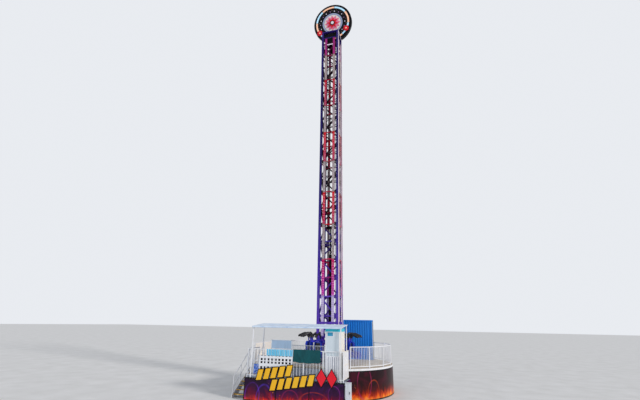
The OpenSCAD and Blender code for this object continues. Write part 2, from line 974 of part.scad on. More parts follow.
module power_cabinet() {
    ribs = 14;
    rib_d = 30;
    pitch = cabinet_w / ribs;
    back = sqrt(pow(fence_r - cabinet_gap, 2) - pow(cabinet_x + cabinet_w, 2));
    color("dodgerblue")
        translate([cabinet_x, back - cabinet_d, deck_z])
            linear_extrude(cabinet_h)
                polygon(concat(
                    [for (i = [0:ribs - 1]) each [
                        [i * pitch, 0], [i * pitch + pitch * 0.45, 0],
                        [i * pitch + pitch * 0.55, rib_d], [i * pitch + pitch * 0.9, rib_d]
                    ]],
                    [[cabinet_w, 0], [cabinet_w, cabinet_d], [0, cabinet_d]]
                ));
}

module each_seat() {
    for (i = [0:seats - 1])
        rotate([0, 0, seat_turn + i * seat_step])
            children();
}

// Plan of the fork plates that hold the rollers of one corner tube, reaching in from the ring
module fork_plan() {
    for (s = [-1, 1], m = [0, 1])
        mirror([m, -m]) {
            y = chord_c + s * (roller_w / 2 + fork_gap + fork_t / 2);
            translate([roller_x - 30, y - fork_t / 2])
                square([sqrt(pow(ring_r + ring_w / 2, 2) - y * y) - roller_x + 30, fork_t]);
        }
}

// Plan of the arms or posts that carry the seats, from a radius out to the seat backs
module post_plan(from) {
    each_seat()
        translate([from, -seat_post_w / 2])
            square([seat_r - from, seat_post_w]);
}

module gondola_ring() {
    low = deck_z + ring_low;
    high = deck_z + ring_high;
    pivot_z = deck_z + pivot_h;
    axle_l = roller_w + 2 * fork_gap + fork_t;
    color("mediumslateblue") {
        for (z = [low, high])
            translate([0, 0, z])
                linear_extrude(ring_h) {
                    difference() {
                        circle(r = ring_r + ring_w, $fn = 96);
                        circle(r = ring_r, $fn = 96);
                    }
                    post_plan(ring_r + ring_w / 2);
                    for (turn = [0:90:270])
                        rotate(turn)
                            fork_plan();
                }
        translate([0, 0, low + ring_h])
            linear_extrude(high - low - ring_h)
                post_plan(seat_r - seat_post_w);
        each_seat() {
            translate([pivot_x - 40, -bracket_half, high + ring_h])
                cube([70, 2 * bracket_half, pivot_z - high - ring_h + 40]);
            translate([pivot_x, 0, pivot_z])
                rotate([90, 0, 0])
                    cylinder(r = pivot_r, h = 2 * (arm_off + hub_w / 2 + 10), center = true);
        }
        for (turn = [0:90:270], z = [low + ring_h / 2, high + ring_h / 2], m = [0, 1])
            rotate([0, 0, turn])
                mirror([m, -m, 0])
                    translate([roller_x, chord_c - roller_w / 2 - fork_gap - fork_t / 2, z])
                        rotate([-90, 0, 0])
                            cylinder(r = axle_r, h = axle_l);
    }
}

module guide_rollers() {
    color("#2b2b2b")
        for (turn = [0:90:270], z = [ring_low, ring_high], m = [0, 1])
            rotate([0, 0, turn])
                mirror([m, -m, 0])
                    translate([roller_x, chord_c - roller_w / 2, deck_z + z + ring_h / 2])
                        rotate([-90, 0, 0])
                            difference() {
                                cylinder(r = roller_r, h = roller_w);
                                translate([0, 0, -1])
                                    cylinder(r = axle_r, h = roller_w + 2);
                            }
}

// Corners given as [x, y, cut]: each is rounded by a curve that starts and ends a cut's length from it
function softened(p, n = 5) = [
    for (i = [0:len(p) - 1])
        let (
            at = [p[i][0], p[i][1]],
            before = p[(i + len(p) - 1) % len(p)],
            after = p[(i + 1) % len(p)],
            u = [before[0], before[1]] - at,
            v = [after[0], after[1]] - at,
            from = at + u / norm(u) * p[i][2],
            to = at + v / norm(v) * p[i][2]
        )
        for (k = [0:p[i][2] > 0 ? n : 0])
            let (t = k / n)
            (1 - t) * (1 - t) * from + 2 * t * (1 - t) * at + t * t * to
];

// Side outline of a seat: back, head wings, armrest, pan and shin guard, with the pan's top at zero height
module seat_outline() {
    polygon(softened([
        [0, -90, 40], [0, back_h, 50], [150, back_h, 55], [215, back_h - 170, 80], [150, 430, 90],
        [320, 225, 80], [seat_d - 25, 205, 60], [seat_d, -175, 30], [seat_d - 70, -185, 30], [430, -105, 60]
    ]));
}

module seat_hollow() {
    polygon(softened([
        [shell_t, 0, 45], [shell_t, back_h + 10, 0], [330, back_h + 10, 0], [330, 420, 0],
        [seat_d + 20, 420, 0],
        [seat_d + 20, -210, 0], [seat_d - 70 - shell_t, -145, 0], [425 + shell_t, -62, 40], [400, -10, 30]
    ]));
}

module seat_shells() {
    color("royalblue")
        each_seat()
            translate([seat_r, seat_w / 2, deck_z + seat_h])
                rotate([90, 0, 0])
                    difference() {
                        linear_extrude(seat_w)
                            seat_outline();
                        translate([0, 0, shell_t])
                            linear_extrude(seat_w - 2 * shell_t)
                                seat_hollow();
                    }
}

module seat_pads() {
    w = seat_w - 2 * shell_t - 20;
    color("#15151a")
        each_seat()
            translate([seat_r, 0, deck_z + seat_h]) {
                translate([shell_t + 1, -w / 2, 70])
                    cube([50, w, back_h - 120]);
                translate([shell_t + 60, -w / 2, 1])
                    cube([seat_d - 250, w, 50]);
            }
}

// One shoulder restraint in its raised place; the pivot lies on the tangent line
module restraint(i) {
    color("#1a1a20")
        rotate([0, 0, seat_turn + (i - 1) * seat_step])
            translate([pivot_x, 0, deck_z + pivot_h])
                rotate([0, -raise, 0]) {
                    for (s = [-1, 1])
                        translate([0, s * arm_off, 0]) {
                            difference() {
                                union() {
                                    rotate([90, 0, 0])
                                        cylinder(r = hub_r, h = hub_w, center = true);
                                    rotate([0, 90, 0])
                                        cylinder(r = arm_r, h = arm_len);
                                }
                                rotate([90, 0, 0])
                                    cylinder(r = pivot_r + pivot_gap, h = hub_w + 2, center = true);
                            }
                            translate([arm_len, 0, -bend_r])
                                rotate([90, 0, 0])
                                    rotate_extrude(angle = 90)
                                        translate([bend_r, 0])
                                            circle(r = arm_r);
                            translate([shoulder_l, 0, -chest_l - 40])
                                cylinder(r = arm_r, h = chest_l + 40 - bend_r);
                        }
                    translate([shoulder_l, 0, -chest_l])
                        rotate([90, 0, 0])
                            cylinder(r = arm_r * 0.75, h = 2 * arm_off, center = true);
                }
}

base_frame();
tower_chords();
lattice_front();
lattice_right();
lattice_back();
lattice_left();
light_strips();
lift_cylinder();
hoist_ropes();
head_sheaves();
head_frame();
head_housing();
sign_frame();
sign_drum();
sign_ring();
deck_frame();
deck_plates();
deck_lip();
deck_skirt();
podium_frame();
podium_floor();
podium_skirt();
stair_stringers();
stair_treads();
stair_handrails();
fence_right();
fence_back();
fence_left();
fence_front();
podium_fence();
booth_body();
booth_window();
canopy_frame();
canopy_cloth();
notice_board();
banner();
electrical_box();
power_cabinet();
gondola_ring();
guide_rollers();
seat_shells();
seat_pads();
restraint(1);  // restraint_01
restraint(2);  // restraint_02
restraint(3);  // restraint_03
restraint(4);  // restraint_04
restraint(5);  // restraint_05
restraint(6);  // restraint_06
restraint(7);  // restraint_07
restraint(8);  // restraint_08
restraint(9);  // restraint_09
restraint(10);  // restraint_10
restraint(11);  // restraint_11
restraint(12);  // restraint_12
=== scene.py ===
"""Looks of a fairground drop tower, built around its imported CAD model.

Metres, +Z up. The origin is on the ground under the tower's axis, and the front with the podium faces -Y.
"""

from __future__ import annotations

import logging
import math
from dataclasses import dataclass
from enum import Enum
from functools import cache, partialmethod
from itertools import product
from typing import Any, Callable, Iterable, Sequence

import bmesh
import bpy
import numpy as np
from mathutils import Matrix, Vector


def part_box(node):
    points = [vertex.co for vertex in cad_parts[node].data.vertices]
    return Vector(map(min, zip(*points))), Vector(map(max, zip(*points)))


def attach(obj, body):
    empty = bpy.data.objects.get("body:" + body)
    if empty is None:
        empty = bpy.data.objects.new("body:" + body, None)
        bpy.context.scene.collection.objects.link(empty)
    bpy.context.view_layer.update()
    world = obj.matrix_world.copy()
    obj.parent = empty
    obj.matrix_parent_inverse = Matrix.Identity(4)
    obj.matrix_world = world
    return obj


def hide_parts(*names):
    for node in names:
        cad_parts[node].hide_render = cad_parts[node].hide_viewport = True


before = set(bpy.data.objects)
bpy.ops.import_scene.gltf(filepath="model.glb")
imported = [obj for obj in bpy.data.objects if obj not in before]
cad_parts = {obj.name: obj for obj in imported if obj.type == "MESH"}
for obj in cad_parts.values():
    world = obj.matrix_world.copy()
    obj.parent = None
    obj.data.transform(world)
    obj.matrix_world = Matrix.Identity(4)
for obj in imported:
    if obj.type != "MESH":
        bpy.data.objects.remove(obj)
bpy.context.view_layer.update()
LOG = logging.getLogger("drop_tower")
Point = Sequence[float]
Points = Sequence[Point]
Spots = list[tuple[Vector, Vector]]
Inputs = dict[Any, Any]
Stops = Sequence[tuple[float, str]]


def tone(code: str) -> tuple[float, ...]:
    """Turn a hexadecimal screen colour into linear red, green, blue and alpha."""
    parts = [int(code[i:i + 2], 16) / 255 for i in (1, 3, 5)]
    return (*(c / 12.92 if c <= 0.04045 else ((c + 0.055) / 1.055) ** 2.4 for c in parts), 1.0)


def faded(code: str) -> tuple[float, ...]:
    """Return a weathered, slightly lighter tone of a hexadecimal screen colour."""
    parts = tone(code)[:3]
    return (*(min(0.9, 1.2 * c + 0.04 * sum(parts) + 0.002) for c in parts), 1.0)


class Wire:
    """One output of a node, which takes part in sums and feeds further nodes."""

    def __init__(self, graph: Graph, socket: bpy.types.NodeSocket) -> None:
        """Hold an output of a graph's node."""
        self.graph, self.socket = graph, socket

    def calc(self, operation: str, *others: Any) -> Wire:
        """Return the result of a Math node on this value and another."""
        return self.graph.add("ShaderNodeMath", dict(enumerate((self, *others))), operation=operation)

    __add__ = partialmethod(calc, "ADD")
    __sub__ = partialmethod(calc, "SUBTRACT")
    __mul__ = partialmethod(calc, "MULTIPLY")
    __truediv__ = partialmethod(calc, "DIVIDE")
    __mod__ = partialmethod(calc, "MODULO")
    __pow__ = partialmethod(calc, "POWER")
    __gt__ = partialmethod(calc, "GREATER_THAN")
    __lt__ = partialmethod(calc, "LESS_THAN")
    __abs__ = partialmethod(calc, "ABSOLUTE")
    floor = partialmethod(calc, "FLOOR")
    fract = partialmethod(calc, "FRACT")
    root = partialmethod(calc, "SQRT")
    sine = partialmethod(calc, "SINE")

    def mix(self, a: Any, b: Any) -> Wire:
        """Return two colours mixed by this factor."""
        return self.graph.mix(self, a, b)

    def noise(self, scale: float, detail: float = 3.0, twist: float = 0.0) -> Wire:
        """Return a noise value at this place."""
        inputs = {"Vector": self, "Scale": scale, "Detail": detail, "Distortion": twist}
        return self.graph.add("ShaderNodeTexNoise", inputs)

    def cells(self, scale: float, out: str = "Distance", **settings: str) -> Wire:
        """Return an output of a cell pattern at this place."""
        return self.graph.add("ShaderNodeTexVoronoi", {"Vector": self, "Scale": scale}, out, **settings)

    def remap(self, low: float, high: float, to_low: float = 0.0, to_high: float = 1.0) -> Wire:
        """Return this value carried from one range to another and held there."""
        return self.graph.add("ShaderNodeMapRange", dict(enumerate((self, low, high, to_low, to_high))))

    def ramp(self, stops: Stops, stepped: bool = False) -> Wire:
        """Return the colour of a ramp at this value of 0 to 1.

        Args:
            stops: Places and hexadecimal colours, in rising order.
            stepped: Whether each colour holds up to the next stop.

        Returns:
            The colour.
        """
        node = self.graph.node("ShaderNodeValToRGB", {0: self})
        ramp = node.color_ramp
        ramp.interpolation = "CONSTANT" if stepped else "LINEAR"
        ramp.elements.remove(ramp.elements[1])
        for i, (at, code) in enumerate(stops):
            element = ramp.elements.new(at) if i else ramp.elements[0]
            element.position, element.color = at, tone(code)
        return Wire(self.graph, node.outputs[0])

    def stretch(self, *scale: float) -> Wire:
        """Return this place scaled along its axes."""
        return self.graph.add("ShaderNodeMapping", {"Vector": self, "Scale": scale})

    def split(self) -> list[Wire]:
        """Return the three coordinates of this place."""
        return [Wire(self.graph, out) for out in self.graph.node("ShaderNodeSeparateXYZ", {0: self}).outputs]

    def bump(self, distance: float, strength: float) -> Wire:
        """Return a normal raised by this height of 0 to 1 times a distance in metres."""
        inputs = {"Strength": strength, "Distance": distance, "Height": self}
        return self.graph.add("ShaderNodeBump", inputs)


class Graph:
    """Adds and joins the nodes of one shader or geometry tree."""

    def __init__(self, tree: bpy.types.NodeTree) -> None:
        """Take over an empty tree."""
        self.tree = tree
        tree.nodes.clear()

    def node(self, kind: str, inputs: Inputs | None = None, **settings: Any) -> bpy.types.Node:
        """Add a node.

        Args:
            kind: Blender's name of the node type.
            inputs: Wires, values or hexadecimal colours, by the input's name or number.
            settings: Attributes that are set before the inputs.

        Returns:
            The new node.
        """
        node = self.tree.nodes.new(kind)
        for name, value in settings.items():
            setattr(node, name, value)
        for key, value in (inputs or {}).items():
            if isinstance(value, Wire):
                self.tree.links.new(value.socket, node.inputs[key])
            else:
                coded = isinstance(value, str) and value.startswith("#")
                node.inputs[key].default_value = tone(value) if coded else value
        return node

    def add(self, kind: str, inputs: Inputs | None = None, out: int | str = 0, **settings: Any) -> Wire:
        """Add a node and return one of its outputs, by number or name."""
        return Wire(self, self.node(kind, inputs, **settings).outputs[out])

    def mix(self, factor: Any, a: Any, b: Any, blend: str = "MIX") -> Wire:
        """Return two colours mixed by a factor."""
        return self.add("ShaderNodeMix", {0: factor, 6: a, 7: b}, 2, data_type="RGBA", blend_type=blend)

    def join(self, *parts: Any) -> Wire:
        """Return a vector of three values."""
        return self.add("ShaderNodeCombineXYZ", dict(enumerate(parts)))


@dataclass(frozen=True)
class Finish:
    """A surface finish, which becomes one procedural material."""

    name: str
    colour: str = "#ffffff"

    @cache
    def material(self) -> bpy.types.Material:
        """Return the finish's material, made at the first call."""
        made = bpy.data.materials.new(f"finish_{self.name}")
        made.use_nodes = True
        graph = Graph(made.node_tree)
        shader = graph.add("ShaderNodeBsdfPrincipled", self.paint(graph.add("ShaderNodeTexCoord", out="Object")))
        graph.node("ShaderNodeOutputMaterial", {0: shader})
        return made

    def paint(self, place: Wire) -> Inputs:
        """Return the inputs of the surface shader.

        Args:
            place: Object coordinates.

        Returns:
            Values, wires or hexadecimal colours by the input's name.
        """
        raise NotImplementedError


@dataclass(frozen=True)
class Paint(Finish):
    """Sprayed paint on steel, with vertical grime runs, small chips and an orange peel surface."""

    roughness: float = 0.38
    grime: float = 0.3
    grime_colour: str = "#3b352f"
    chips: float = 0.6
    chip_colour: str = "#6d6a66"
    coat: float = 0.15
    specular: float = 0.4

    def tint(self, place: Wire) -> Wire:
        """Return the clean paint's colour."""
        return place.noise(0.7, 2.0).mix(self.colour, faded(self.colour))

    def paint(self, place: Wire) -> Inputs:
        """Return the inputs of the surface shader, as for any finish."""
        patches = place.noise(1.3, 3.0)
        dirt = (place.stretch(5.0, 5.0, 0.5).noise(1.7, 4.0) * patches).remap(0.24, 0.44, 0.0, self.grime)
        chips = place.noise(45.0, 2.0).remap(0.71, 0.73, 0.0, self.chips)
        smooth = patches.remap(0.3, 0.7, self.roughness - 0.05, self.roughness + 0.07)
        return {
            "Base Color": chips.mix(dirt.mix(self.tint(place), self.grime_colour), self.chip_colour),
            "Roughness": dirt * 0.4 + smooth,
            "Specular IOR Level": self.specular,
            "Coat Weight": self.coat,
            "Coat Roughness": 0.2,
            "Normal": (place.noise(210.0, 2.0) * 0.25 - chips).bump(0.0008, 0.6),
        }


@dataclass(frozen=True)
class ZonedPaint(Paint):
    """Paint whose colour changes in zones up the tower, with other tones on level bars, and with paler tones on the ±X
    sides that are painted sunlight from the right.
    """

    stops: Stops = ()
    # Paler colours for the ±X faces: painted sunlight of a low sun from +X, set on both X faces.
    side_stops: Stops = ()
    bar_stops: Stops = ()
    side_at: float = 9.0
    stepped: bool = True
    top: float = 31.1
    bar_first: float = 0.70
    bar_pitch: float = 1.375
    bar_half: float = 0.037

    def zones(self, z: Wire, stops: Stops) -> Wire:
        """Return the colour of a row of stops at a height."""
        return (z / self.top).ramp([(at / self.top, code) for at, code in stops], self.stepped)

    def tint(self, place: Wire) -> Wire:
        """Return the zone's colour at a height."""
        x, _, z = place.split()
        colour = self.zones(z, self.stops)
        if self.bar_stops:
            bay = z / self.bar_pitch + (0.5 - self.bar_first / self.bar_pitch)
            level = abs(bay.fract() - 0.5) < self.bar_half / self.bar_pitch
            colour = level.mix(colour, self.zones(z, self.bar_stops))
        # Painted light: beyond this |x| the faces take the paler sunlit colours, as if a low sun from +X lit them.
        if self.side_stops:
            colour = (abs(x) > self.side_at).mix(colour, self.zones(z, self.side_stops))
        return place.graph.mix(1.0, colour, place.noise(2.3, 3.0).remap(0.3, 0.7, 0.8, 1.1), "MULTIPLY")


@dataclass(frozen=True)
class Diffuser(ZonedPaint):
    """Ribbed milky cover of a light strip over rows of lamps."""

    pitch: float = 0.125

    def paint(self, place: Wire) -> Inputs:
        """Return the inputs of the surface shader, as for any finish."""
        z = place.split()[2]
        glow = abs((z / self.pitch).fract() - 0.5).remap(0.0, 0.5, 0.0, 0.28)
        dust = place.noise(3.0, 4.0).remap(0.45, 0.8, 0.0, 0.16)
        return {
            "Base Color": dust.mix(glow.mix(self.tint(place), (0.02, 0.01, 0.02, 1.0)), "#8b8288"),
            "Roughness": dust.remap(0.0, 0.3, 0.28, 0.5),
            "Specular IOR Level": 0.1,
            "Normal": (z * 420.0).sine().bump(0.0015, 0.4),
        }


@dataclass(frozen=True)
class Galvanised(Finish):
    """Hot dip zinc with its spangle, white bloom and dull patches."""

    def paint(self, place: Wire) -> Inputs:
        """Return the inputs of the surface shader, as for any finish."""
        grain = place.cells(34.0, "Color").split()[0]
        bloom = place.noise(2.6, 5.0).remap(0.42, 0.7, 0.0, 0.8)
        return {
            "Base Color": bloom.mix(grain.mix(self.colour, "#73777c"), "#b4b6b5"),
            "Metallic": 0.75,
            "Roughness": grain.remap(0.0, 1.0, 0.32, 0.5) + bloom * 0.2,
            "Normal": grain.bump(0.0006, 0.5),
        }


@dataclass(frozen=True)
class DeckCoat(Finish):
    """Anti-slip coating with grit, scuffed walking tracks and stains."""

    track_r: float = 2.75

    def paint(self, place: Wire) -> Inputs:
        """Return the inputs of the surface shader, as for any finish."""
        x, y, _ = place.split()
        track = abs((x * x + y * y).root() - self.track_r).remap(0.2, 1.1, 1.0, 0.0)
        worn = track * place.noise(1.6, 5.0, 0.6).remap(0.42, 0.68)
        grit = place.noise(320.0, 1.0)
        stains = place.noise(0.8, 6.0, 1.0).remap(0.5, 0.75, 0.0, 0.45)
        base = stains.mix(grit.mix(self.colour, "#cdbfa6"), "#a3937d")
        return {
            "Base Color": (worn * 0.5).mix(base, "#8d8274"),
            "Roughness": worn.remap(0.0, 1.0, 0.82, 0.6),
            "Normal": grit.bump(0.0012, 0.8),
        }


@dataclass(frozen=True)
class TreadPlate(Finish):
    """Rolled steel floor plate with raised lozenges that alternate in direction."""

    pitch: float = 0.036
    metallic: float = 0.35

    def paint(self, place: Wire) -> Inputs:
        """Return the inputs of the surface shader, as for any finish."""
        u, v, _ = (part / self.pitch for part in place.split())
        odd = abs((u.floor() + v.floor()) % 2.0) > 0.5
        a, b = u.fract() - 0.5, v.fract() - 0.5
        plus, minus = a + b, a - b
        along, across = (place.graph.add("ShaderNodeMix", {0: odd, 2: even, 3: other})
                         for even, other in ((plus, minus), (minus, plus)))
        lozenge = ((along * 1.6) ** 2.0 + (across * 6.0) ** 2.0).remap(0.5, 1.0, 1.0, 0.0)
        rub = place.noise(2.2, 5.0).remap(0.4, 0.68)
        return {
            "Base Color": (lozenge * 0.5).mix((rub * 0.5).mix(self.colour, "#6f7480"), "#c9ced6"),
            "Metallic": self.metallic,
            "Roughness": rub.remap(0.0, 1.0, 0.38, 0.62),
            "Normal": lozenge.bump(0.0022, 0.9),
        }


@dataclass(frozen=True)
class GlowPrint(Finish):
    """Printed skirt sheet: a dark ground with drifting colour and a warm glow along its foot."""

    glow: Stops = ()
    height: float = 1.65
    spread: float = 0.8
    round_wall: bool = False
    radius: float = 4.39
    loops: tuple[tuple[float, float, float, float, str], ...] = ()

    def paint(self, place: Wire) -> Inputs:
        """Return the inputs of the surface shader, as for any finish."""
        x, y, z = place.split()
        along = y.calc("ARCTAN2", x) * self.radius if self.round_wall else x
        sheet = place.graph.join(along, z, 0.0 if self.round_wall else y)
        flicker = sheet.stretch(1.0, 0.45, 1.0).noise(1.5, 6.0, 1.6)
        level = z / self.height + (flicker - 0.5) * self.spread
        cloud = sheet.noise(0.75, 5.0, 2.2).remap(0.46, 0.66, 0.0, 0.6)
        colour = (cloud * level.remap(0.22, 0.6)).mix(level.ramp(self.glow), self.colour)
        spark = sheet.cells(3.4).remap(0.03, 0.13, 1.0, 0.0) * sheet.noise(0.9, 1.0).remap(0.5, 0.62)
        colour = spark.mix(colour, "#ff9448")
        for at, high, wide, tall, code in self.loops:
            across, up = (along - at) / wide, (z - high) / tall
            line = abs((across * across + up * up).root() - 1.0).remap(0.02, 0.09, 0.5, 0.0)
            colour = (line * flicker.remap(0.3, 0.6)).mix(colour, code)
        dust = (z + place.noise(2.0, 5.0)).remap(0.42, 0.85, 0.22, 0.0)
        return {
            "Base Color": dust.mix(colour, "#6b5a48"),
            "Roughness": dust.remap(0.0, 0.3, 0.36, 0.62),
            "Specular IOR Level": 0.15,
            "Normal": place.noise(3.0, 3.0).bump(0.006, 0.5),
        }


@dataclass(frozen=True)
class Weave(Finish):
    """Coated woven cloth, which reads the piece's own cut as its UV map, in metres."""

    shade: str = "#b4cdee"
    thread: float = 0.0022
    sheen: float = 0.15
    seam: float = 0.0

    def paint(self, place: Wire) -> Inputs:
        """Return the inputs of the surface shader, as for any finish."""
        cut = place.graph.add("ShaderNodeUVMap", uv_map="cut")
        u, v, _ = cut.split()
        warp, weft = ((part * (math.tau / self.thread)).sine() for part in (u, v))
        height = warp * weft * 0.5
        if self.seam:
            step = abs((u / self.seam).fract() - 0.5) * self.seam
            height = height + step.remap(0.012, 0.016, 1.0, 0.0) * 2.0
        stain = cut.stretch(1.0, 0.6, 1.0).noise(2.4, 5.0, 0.5).remap(0.4, 0.75, 0.0, 0.8)
        return {
            "Base Color": stain.mix(self.colour, self.shade),
            "Roughness": 0.62,
            "Specular IOR Level": 0.25,
            "Sheen Weight": self.sheen,
            "Normal": height.bump(0.0006, 0.7),
        }


@dataclass(frozen=True)
class Moulded(Finish):
    """Moulded glass fibre, plastic, rubber or foam skin with a fine grain and scuffs."""

    roughness: float = 0.25
    grain: float = 160.0
    scuffs: float = 0.12
    coat: float = 0.5

    def paint(self, place: Wire) -> Inputs:
        """Return the inputs of the surface shader, as for any finish."""
        grain = place.noise(self.grain, 3.0)
        scuff = place.stretch(9.0, 9.0, 2.0).noise(3.0, 5.0).remap(0.6, 0.72, 0.0, self.scuffs)
        shade = place.graph.mix(0.35, self.colour, "#000000")
        return {
            "Base Color": scuff.mix(place.noise(4.0, 2.0).mix(self.colour, shade), "#8e93a6"),
            "Roughness": scuff * 0.5 + grain.remap(0.3, 0.7, self.roughness, self.roughness + 0.1),
            "Coat Weight": self.coat,
            "Coat Roughness": 0.12,
            "Normal": grain.bump(0.0006, 0.6),
        }


@dataclass(frozen=True)
class Vinyl(Finish):
    """Soft vinyl of the seat pads, with a leather grain of cells and creases."""

    def paint(self, place: Wire) -> Inputs:
        """Return the inputs of the surface shader, as for any finish."""
        wear = place.noise(7.0, 4.0).remap(0.5, 0.75, 0.0, 0.6)
        return {
            "Base Color": wear.mix(self.colour, "#38363a"),
            "Roughness": wear.remap(0.0, 0.6, 0.42, 0.6),
            "Sheen Weight": 0.1,
            "Normal": place.cells(260.0, feature="DISTANCE_TO_EDGE").remap(0.0, 0.25).bump(0.0007, 0.6),
        }


@dataclass(frozen=True)
class WireRope(Finish):
    """Greased wire rope with slanting strands."""

    pitch: float = 0.05

    def paint(self, place: Wire) -> Inputs:
        """Return the inputs of the surface shader, as for any finish."""
        x, _, z = place.split()
        strand = ((z + x) * (math.tau / self.pitch * 6.0)).sine()
        return {
            "Base Color": strand.remap(-1.0, 1.0).mix(self.colour, "#6d6a64"),
            "Metallic": 0.8,
            "Roughness": place.noise(30.0, 2.0).remap(0.3, 0.7, 0.35, 0.6),
            "Normal": strand.bump(0.002, 0.8),
        }


@dataclass(frozen=True)
class Pane(Finish):
    """Tinted booth glass with rain marks."""

    def paint(self, place: Wire) -> Inputs:
        """Return the inputs of the surface shader, as for any finish."""
        marks = place.stretch(6.0, 6.0, 1.0).noise(5.0, 4.0)
        return {
            "Base Color": marks.remap(0.4, 0.8, 0.0, 0.3).mix(self.colour, "#d8f0f2"),
            "Roughness": marks.remap(0.4, 0.7, 0.05, 0.2),
            "Transmission Weight": 0.35,
            "IOR": 1.5,
            "Normal": marks.bump(0.0004, 0.3),
        }


@dataclass(frozen=True)
class Lens(Finish):
    """Moulded lamp lens with facets and a faint glow of its own."""

    glow: float = 0.25

    def paint(self, place: Wire) -> Inputs:
        """Return the inputs of the surface shader, as for any finish."""
        facets = place.cells(70.0)
        return {
            "Base Color": facets.remap(0.1, 0.7, 0.0, 0.35).mix(self.colour, "#ffffff"),
            "Roughness": facets.remap(0.0, 0.8, 0.12, 0.3),
            "Emission Color": self.colour,
            "Emission Strength": self.glow,
            "Coat Weight": 0.6,
            "Normal": facets.bump(0.002, 0.6),
        }


def strips(*zones: tuple[str, str]) -> Stops:
    """Return colour stops for the light strips' zones, each from its lower to its upper colour."""
    return tuple(stop for k, (low, high) in enumerate(zones)
                 for stop in ((3.451 + k * 2.75, low), (6.199 + k * 2.75, high)))


CHORD_STOPS = (
    (0.0, "#6a45c8"), (5.5, "#5a3ab4"), (8.0, "#452aa0"), (12.0, "#301d80"), (17.0, "#1d1060"), (25.0, "#1b0e58"),
    (31.1, "#2c1b74"),
)
# Painted sunlight: pale pink-white for the chords' ±X faces, as a low sun from the right lights them, set on both
# sides.
CHORD_SUNLIT_SIDE = ((0.0, "#dcc8ea"), (6.2, "#f2dcea"), (12.0, "#f6e2ea"), (31.1, "#f0e4f0"))
LATTICE_STOPS = (
    (0.0, "#5636b0"), (6.0, "#4c309c"), (8.8, "#36246c"), (11.5, "#240d1e"), (14.3, "#22121e"), (17.0, "#280a1a"),
    (19.8, "#22121e"), (22.5, "#280a1a"), (25.3, "#2a1624"), (28.0, "#4a1438"),
)
BAR_STOPS = (
    (0.0, "#5a3ab8"), (6.0, "#6e4acc"), (7.2, "#9a1f78"), (8.6, "#d8125c"), (10.0, "#4c3aa0"), (11.4, "#d8182c"),
    (12.8, "#8c1230"), (14.2, "#a81038"), (15.5, "#4a3c48"), (16.9, "#a8102e"), (18.3, "#8c1030"), (19.7, "#a81038"),
    (21.0, "#4a3c48"), (22.4, "#a8102e"), (23.8, "#8c1030"), (25.2, "#a81038"), (26.5, "#5a4450"), (27.9, "#9a1850"),
)
DULL = ("#b6a6a6", "#b0a0a0")
HOT = ("#c81254", "#e8141e")
# Pale pink that stands for a strip in low sunlight on the ±X faces: painted light.
SUNLIT_BLUSH = ("#f6e0e6", "#f6e0e6")
STRIP_STOPS = strips(("#d8c8f8", "#dccbfa"), ("#dc3cc0", "#dc1262"), DULL, HOT, DULL, HOT, DULL,
                     ("#b81250", "#d81428"), ("#b2a09e", "#b8a49a"), ("#b82a80", "#a82a86"))
# Strip colours on the ±X faces: paler, painted sunlit copies of the front strips' colours.
STRIP_SUNLIT_SIDE = strips(("#f6def0", "#f6e0f0"), ("#f4a0cc", "#f4a2ba"), ("#f6e2e8", "#f6e2e8"), ("#f4a8bc", "#f49698"),
                    SUNLIT_BLUSH, ("#f4aabc", "#f49a9c"), SUNLIT_BLUSH, ("#f4aabc", "#f4a0a2"), ("#f4e2e2", "#f4e2e2"),
                    ("#f2c4dc", "#f0cce4"))
SKIRT_GLOW = (
    (0.0, "#ff9c30"), (0.1, "#ea5a10"), (0.22, "#96240c"), (0.36, "#4a1210"), (0.55, "#2a0f12"), (1.0, "#241018"),
)
PANEL_GLOW = (
    (0.0, "#ff5a28"), (0.12, "#cc2022"), (0.28, "#6c1030"), (0.5, "#3a1038"), (0.8, "#281030"), (1.0, "#201024"),
)
PANEL_LOOPS = ((1.66, 0.62, 0.33, 0.42, "#a832a0"), (-3.25, 0.35, 0.45, 0.62, "#7a38c8"),
               (-2.5, 0.1, 0.5, 0.8, "#5a34c0"), (0.5, 0.25, 0.8, 0.42, "#e0481c"), (-0.9, 0.2, 0.5, 0.5, "#b02860"))
SKIRT_LOOPS = ((-3.6, 1.0, 0.5, 0.9, "#b02468"), (-2.9, 0.5, 0.45, 0.6, "#c04418"), (1.0, 0.7, 0.6, 0.7, "#9a2a60"))

PURPLE = ZonedPaint("purple", stops=CHORD_STOPS, side_stops=CHORD_SUNLIT_SIDE, side_at=0.8095, stepped=False,
                    roughness=0.4, grime=0.12, coat=0.0, specular=0.15, chips=0.3)
ZONED = ZonedPaint("zoned", stops=LATTICE_STOPS, bar_stops=BAR_STOPS, grime=0.12, coat=0.0, specular=0.1, chips=0.2)
DIAGONAL = ZonedPaint("diagonal", stops=LATTICE_STOPS, grime=0.12, coat=0.0, specular=0.1, chips=0.2)
STRIPS = Diffuser("strips", stops=STRIP_STOPS, side_stops=STRIP_SUNLIT_SIDE, side_at=0.6, stepped=False)
VIOLET = Paint("violet", "#3434cc", grime=0.12, specular=0.2, coat=0.05)
WHITE = Paint("white", "#eef1f8", grime=0.2, chips=0.4, grime_colour="#8f8a84", chip_colour="#9a938a")
IVORY = Paint("ivory", "#f4eadb", grime=0.2, chips=0.3, grime_colour="#958a78", chip_colour="#9a938a")
LILAC = Paint("lilac", "#e6dafc", grime=0.15, grime_colour="#8a7fa0", chip_colour="#9a90a8")
SKY = Paint("sky", "#4cc0fa", grime=0.1, grime_colour="#3d7a98", coat=0.0, specular=0.2)
NAVY = Paint("navy", "#12286a", grime=0.2, grime_colour="#2a3040", specular=0.25, coat=0.05)
AZURE = Paint("azure", "#2a6ee0", grime=0.15, grime_colour="#23406e")
